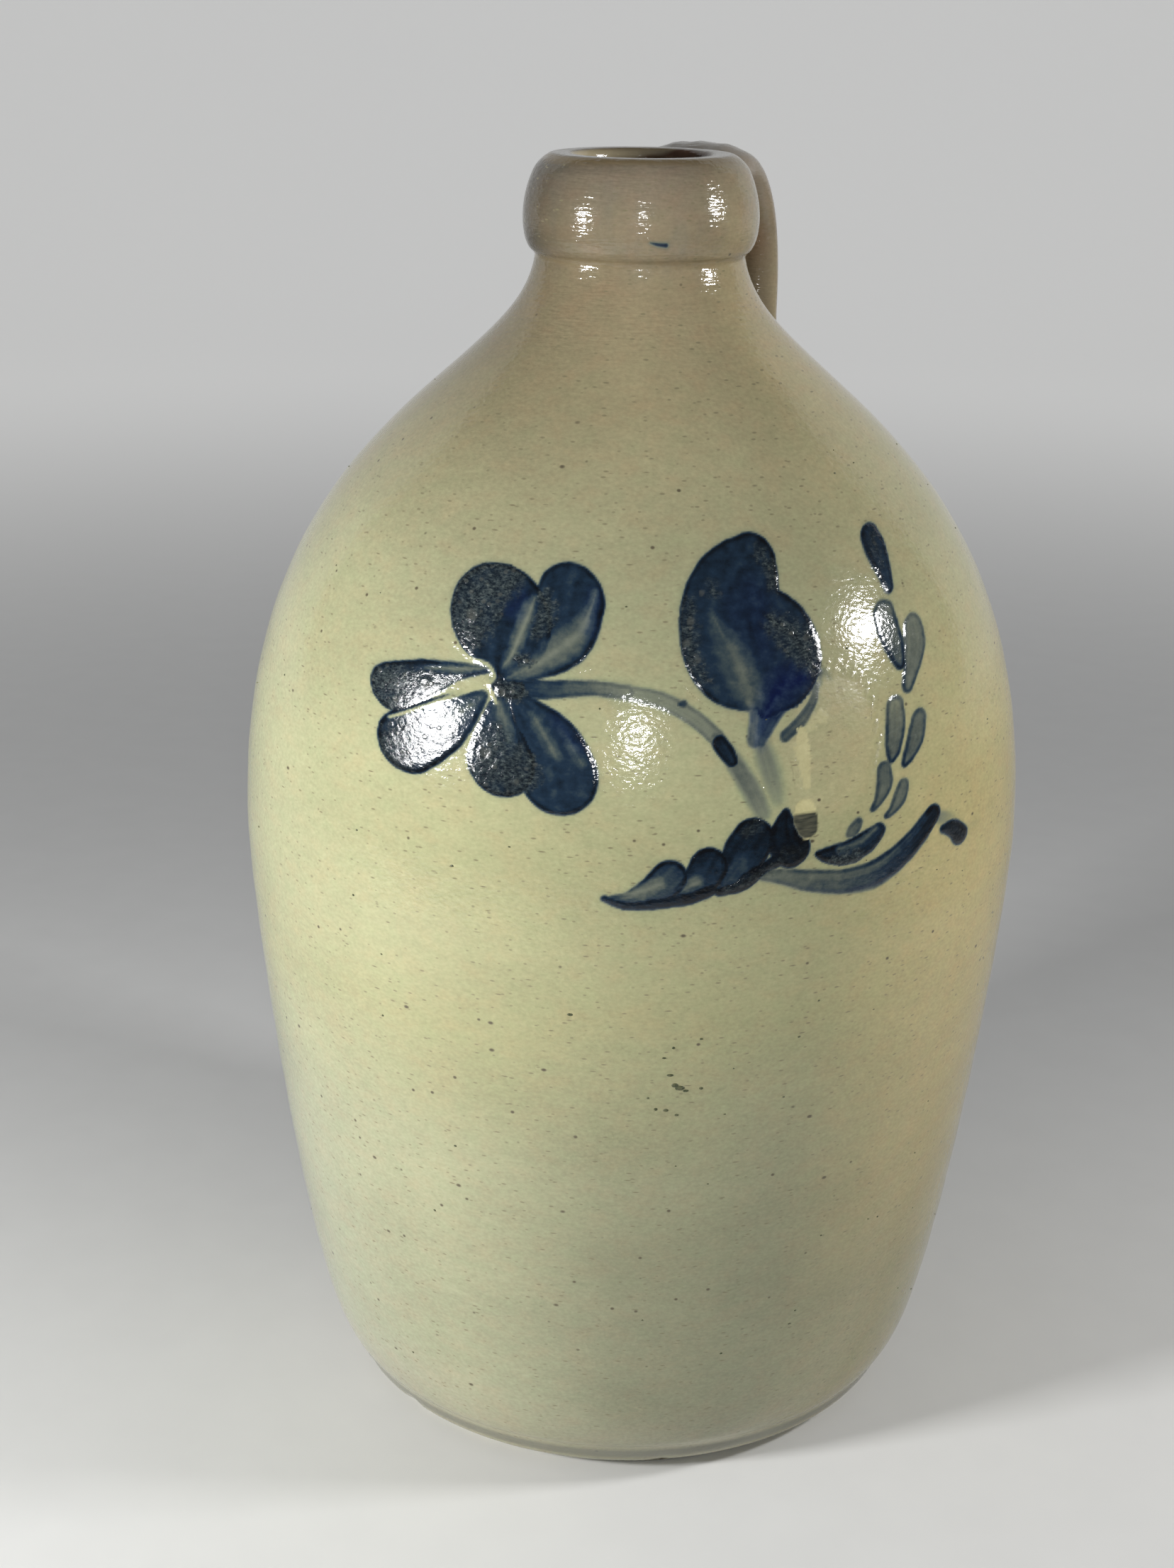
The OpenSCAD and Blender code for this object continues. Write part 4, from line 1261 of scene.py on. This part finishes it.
def writeMarks(mesh, marks):
    for name in marks:
        mesh.verts.layers.float.new(name)
    layers = {name: mesh.verts.layers.float[name] for name in marks}
    for k, corner in enumerate(mesh.verts):
        for name, layer in layers.items():
            corner[layer] = float(marks[name][k])


# a thin skin of slip laid on the side, turned to face outward and given its thickness inward
def finishPatch(name, mesh, relief, marks, keep, onto, points, nodes):
    places, outward = onto(points)
    writeMarks(mesh, marks)
    movePlaces(mesh, places + relief[:, None] * outward)
    trimPatch(mesh, keep)
    level = Vector((1, 1, 0))
    if sum(face.normal.dot(face.calc_center_median() * level) for face in list(mesh.faces)[:40]) < 0:
        bmesh.ops.reverse_faces(mesh, faces=mesh.faces)
    thicken(finishPiece(name, mesh, cobaltMaterial, nodes), spray["skin"])


def makeSpray():
    for name, parts in strokes.items():
        mesh, points = patchMesh(*boxOf([row for rows, *rest in parts for row in rows], spray["margin"]), spray["cell"])
        relief, marks, nearest, out = paintSpray(points)
        own = nearest[name]
        others = np.min([gap for other, gap in nearest.items() if other != name], axis=0)
        sink = 0.08 * smoothStep(own - others, 0.4, 1.0) + 0.012 * smoothStep(own, 2.2, 3.4)
        keep = (own < 3.4) & (own < others + 1.1)
        cadNode = "".join("_" + letter.lower() if letter.isupper() else letter for letter in name)
        finishPatch(name, mesh, relief - sink, marks, keep, drape, points, [cadNode])
        print("  ", name, len(points))


def makeKiss():
    low, high = ([(kiss["centre"][k] + way * 1.35 * kiss["reach"][k]) * unit for k in (0, 1)] for way in (-1, 1))
    mesh, points = patchMesh(low, high, kiss["cell"])
    relief, marks, nearest, out = paintSpray(points)
    others = np.min(list(nearest.values()), axis=0)
    sink = 0.08 * smoothStep(1.6 - others, 0, 0.8)
    keep = (out < kiss["edge"]) & (others > 0.7)
    finishPatch("kilnKiss", mesh, relief - sink, marks, keep, drape, points, [])


makeSpray()
makeKiss()
print("spray made")


# a dab that fell on the collar, its path in hundredths as the spray's
dab = {"turn": 32.0, "height": 266.6, "path": [(-8.5, 1.4, 0.4), (-2, 0, 1.4), (4.5, -0.6, 1.8)],
       "patch": ((-5.5, -2.8), (4.8, 2.6)), "cell": 0.2, "edge": 2.4, "full": 0.85, "halo": 0.26}


def makeDab():
    mesh, points = patchMesh(*dab["patch"], dab["cell"])
    gap = strokeField(points, dab["path"])[0]
    load = np.maximum(dab["full"] * smoothStep(-gap, -0.4, 0.45), dab["halo"] * np.exp(-np.maximum(gap, 0) / 0.5))
    load = load * (1 - smoothStep(gap, 1.1, 1.8))
    marks = {name: np.zeros(len(points)) for name in ("crust", "bubble", "scar", "tan", "bare", "ash")}
    marks.update(load=load, blue=0.2 * load)

    def onCollar(flat):
        z = dab["height"] + flat[:, 1]
        angle = math.radians(dab["turn"]) + flat[:, 0] / np.interp(z, sideZ, sideR)
        return wallPoint(angle, z, sideZ, sideR, 0.3)

    relief = 0.06 * smoothStep(-gap, -0.2, 0.5) + 0.012 - 0.032 * smoothStep(gap, 0.0, dab["edge"])
    finishPatch("collarDab", mesh, relief, marks, gap < dab["edge"], onCollar, points, ["collar_dab"])


makeDab()


# iron specks that burst through the glaze: turn from the front in degrees, height and size
specks = {
    "cluster": [(28.6, 110.0, 0.5), (25.7, 104.7, 0.3), (26.8, 102.0, 0.4), (28.2, 101.7, 0.45), (29.7, 100.5, 0.32),
                (32.9, 106.6, 0.42), (32.6, 118.1, 0.26), (28.9, 116.3, 0.34), (27.7, 114.0, 0.3), (30.0, 106.9, 0.85),
                (29.3, 107.6, 0.62), (30.8, 106.2, 0.5), (15.2, 123.4, 0.4)],
    "scattered": 110,
    "heights": (20, 235),
    "sizes": (0.14, 0.3),
    "thickness": 0.14,
    "dark": (0.04, 0.055, 0.022),
    "light": (0.13, 0.13, 0.06),
    "cloud": (1500, 2),
    "roughness": (0.3, 0.7, 0.2, 0.4),
    "seed": 11,
}


def turnedTo(way):
    return way.to_track_quat("Z", "Y").to_matrix().to_4x4()


def makeSpecks():
    dice = random.Random(specks["seed"])
    places = list(specks["cluster"])
    for _ in range(specks["scattered"]):
        places.append((dice.uniform(-180, 180), dice.uniform(*specks["heights"]), dice.uniform(*specks["sizes"])))
    mesh = bmesh.new()
    for turn, z, size in places:
        spot, outward = (Vector(found[0]) for found in wallPoint(np.array([math.radians(turn)]), np.array([z])))
        shape = Matrix.Diagonal((size * dice.uniform(0.8, 1.5), size * dice.uniform(0.6, 1.0), specks["thickness"], 1))
        grow = Matrix.Translation(spot * mm) @ turnedTo(outward) @ Matrix.Scale(mm, 4) @ shape
        bmesh.ops.create_icosphere(mesh, subdivisions=2, radius=1, matrix=grow)
    material, tree, shader, place = newMaterial("ironSpeck")
    cloud = clouds(tree, place, *specks["cloud"])
    colour = ramp(tree, cloud, [(0.3, specks["dark"]), (0.75, specks["light"])])
    wire(tree, shader, colour, span(tree, cloud, *specks["roughness"]), cloud)
    finishPiece("ironSpecks", mesh, material, [])


makeSpecks()
print("specks made")


# the floor, lamps and camera, turned together round the jug; lengths in metres
stage = {
    "turn": math.radians(22.5),
    "floor": (0.8, 0.8, 0.79),
    "shaded": 0.98,
    "roughness": 0.85,
    "specular": 0.2,
    "world": (0.93, 0.96, 1.0),
    "worldLevel": 0.11,
    "backdropLevel": 0.55,
    "glowAround": (0.15, 1.5),
    "glowBehind": (0.0, 1.6),
    "sweep": {"front": -3.0, "back": 1.6, "bend": 0.9, "top": 3.5, "level": -0.0003, "halfWidth": 4},
    "aim": (0, 0, 0.15),
    # each lamp: name, place, size and power
    "lamps": [("left", (-0.462, -0.323, 0.271), (0.1, 0.055), 2.95),
              ("middle", (0.014, -0.613, 0.324), (0.05, 0.033), 0.54),
              ("right", (0.429, -0.1, 0.365), (0.08, 0.05), 1.2)],
}
# the camera that took the photograph: millimetres, degrees, and pixels of its 2212-pixel height
camera = {"distance": 494.3, "height": 316.4, "pitch": 19.49, "roll": 0.71, "yaw": -1.16,
          "focal": 3188.9, "imageHeight": 2212, "sensor": 36, "clip": 0.01}


def makeStage():
    sweep = stage["sweep"]
    back, bend, level, half = (sweep[key] for key in ("back", "bend", "level", "halfWidth"))
    line = [Vector((0, sweep["front"], level)), Vector((0, back, level))]
    line += [Vector((0, back + bend * math.sin(t), level + bend * (1 - math.cos(t))))
             for t in (math.radians(a) for a in range(6, 91, 6))]
    line.append(Vector((0, back + bend, sweep["top"])))
    mesh = bmesh.new()
    corners = [mesh.verts.new(p + Vector((-half, 0, 0))) for p in line]
    edges = [mesh.edges.new(pair) for pair in zip(corners, corners[1:])]
    made = bmesh.ops.extrude_edge_only(mesh, edges=edges)["geom"]
    far = [item for item in made if isinstance(item, bmesh.types.BMVert)]
    bmesh.ops.translate(mesh, verts=far, vec=(2 * half, 0, 0))
    bmesh.ops.rotate(mesh, verts=mesh.verts, cent=(0, 0, 0), matrix=Matrix.Rotation(stage["turn"], 3, "Z"))
    bmesh.ops.recalc_face_normals(mesh, faces=mesh.faces)
    material, tree, shader, place = newMaterial("palePaper")
    shaded = tuple(stage["shaded"] * part for part in stage["floor"])
    colour = ramp(tree, clouds(tree, place, 60, 2), [(0.3, shaded), (0.7, stage["floor"])])
    tree.links.new(colour, shader.inputs["Base Color"])
    shader.inputs["Roughness"].default_value = stage["roughness"]
    shader.inputs["Specular IOR Level"].default_value = stage["specular"]
    behind = Vector((-math.sin(stage["turn"]), math.cos(stage["turn"]), 0))
    away = node(tree, "ShaderNodeVectorMath", {0: place}, operation="LENGTH").outputs["Value"]
    seen = node(tree, "ShaderNodeLightPath").outputs
    direct = times(tree, seen["Is Camera Ray"], span(tree, away, *stage["glowAround"]))
    mirrored = times(tree, seen["Is Glossy Ray"], span(tree, facing(tree, place, behind), *stage["glowBehind"]))
    glow = times(tree, plus(tree, direct, mirrored), stage["backdropLevel"])
    shader.inputs["Emission Color"].default_value = (*stage["floor"], 1)
    tree.links.new(glow, shader.inputs["Emission Strength"])
    addMesh("paleSweep", mesh, material)


def makeLights():
    world = bpy.data.worlds.new("softRoom")
    bpy.context.scene.world = world
    world.use_nodes = True
    back = world.node_tree.nodes["Background"]
    back.inputs["Color"].default_value = (*stage["world"], 1)
    seen = node(world.node_tree, "ShaderNodeLightPath").outputs["Is Camera Ray"]
    level = span(world.node_tree, seen, 0.0, 1.0, stage["worldLevel"], stage["backdropLevel"])
    world.node_tree.links.new(level, back.inputs["Strength"])
    turned = Matrix.Rotation(stage["turn"], 4, "Z")
    for name, spot, size, power in stage["lamps"]:
        lamp = bpy.data.lights.new(name, "AREA")
        lamp.shape = "RECTANGLE"
        lamp.size, lamp.size_y = size
        lamp.energy = power
        spot = turned @ Vector(spot)
        addObject(name, lamp).matrix_world = Matrix.Translation(spot) @ turnedTo(spot - Vector(stage["aim"]))


def makeCamera():
    pitch, yaw, roll = (math.radians(camera[k]) for k in ("pitch", "yaw", "roll"))
    ahead = Vector((math.sin(yaw) * math.cos(pitch), math.cos(yaw) * math.cos(pitch), -math.sin(pitch)))
    right = Vector((math.cos(yaw), -math.sin(yaw), 0))
    up = right.cross(ahead)
    across = math.cos(roll) * right + math.sin(roll) * up
    upward = -math.sin(roll) * right + math.cos(roll) * up
    axes = Matrix((across, upward, -ahead)).transposed().to_4x4()
    spot = Matrix.Translation(Vector((0, -camera["distance"], camera["height"])) * mm)
    data = bpy.data.cameras.new("camera")
    data.sensor_width = camera["sensor"]
    data.sensor_fit = "AUTO"
    data.lens = camera["sensor"] * camera["focal"] / camera["imageHeight"]
    data.clip_start = camera["clip"]
    holder = addObject("camera", data)
    holder.matrix_world = Matrix.Rotation(stage["turn"], 4, "Z") @ spot @ axes
    bpy.context.scene.camera = holder


makeStage()
makeLights()
makeCamera()
bpy.context.scene.view_settings.view_transform = "Standard"
print("stage made")
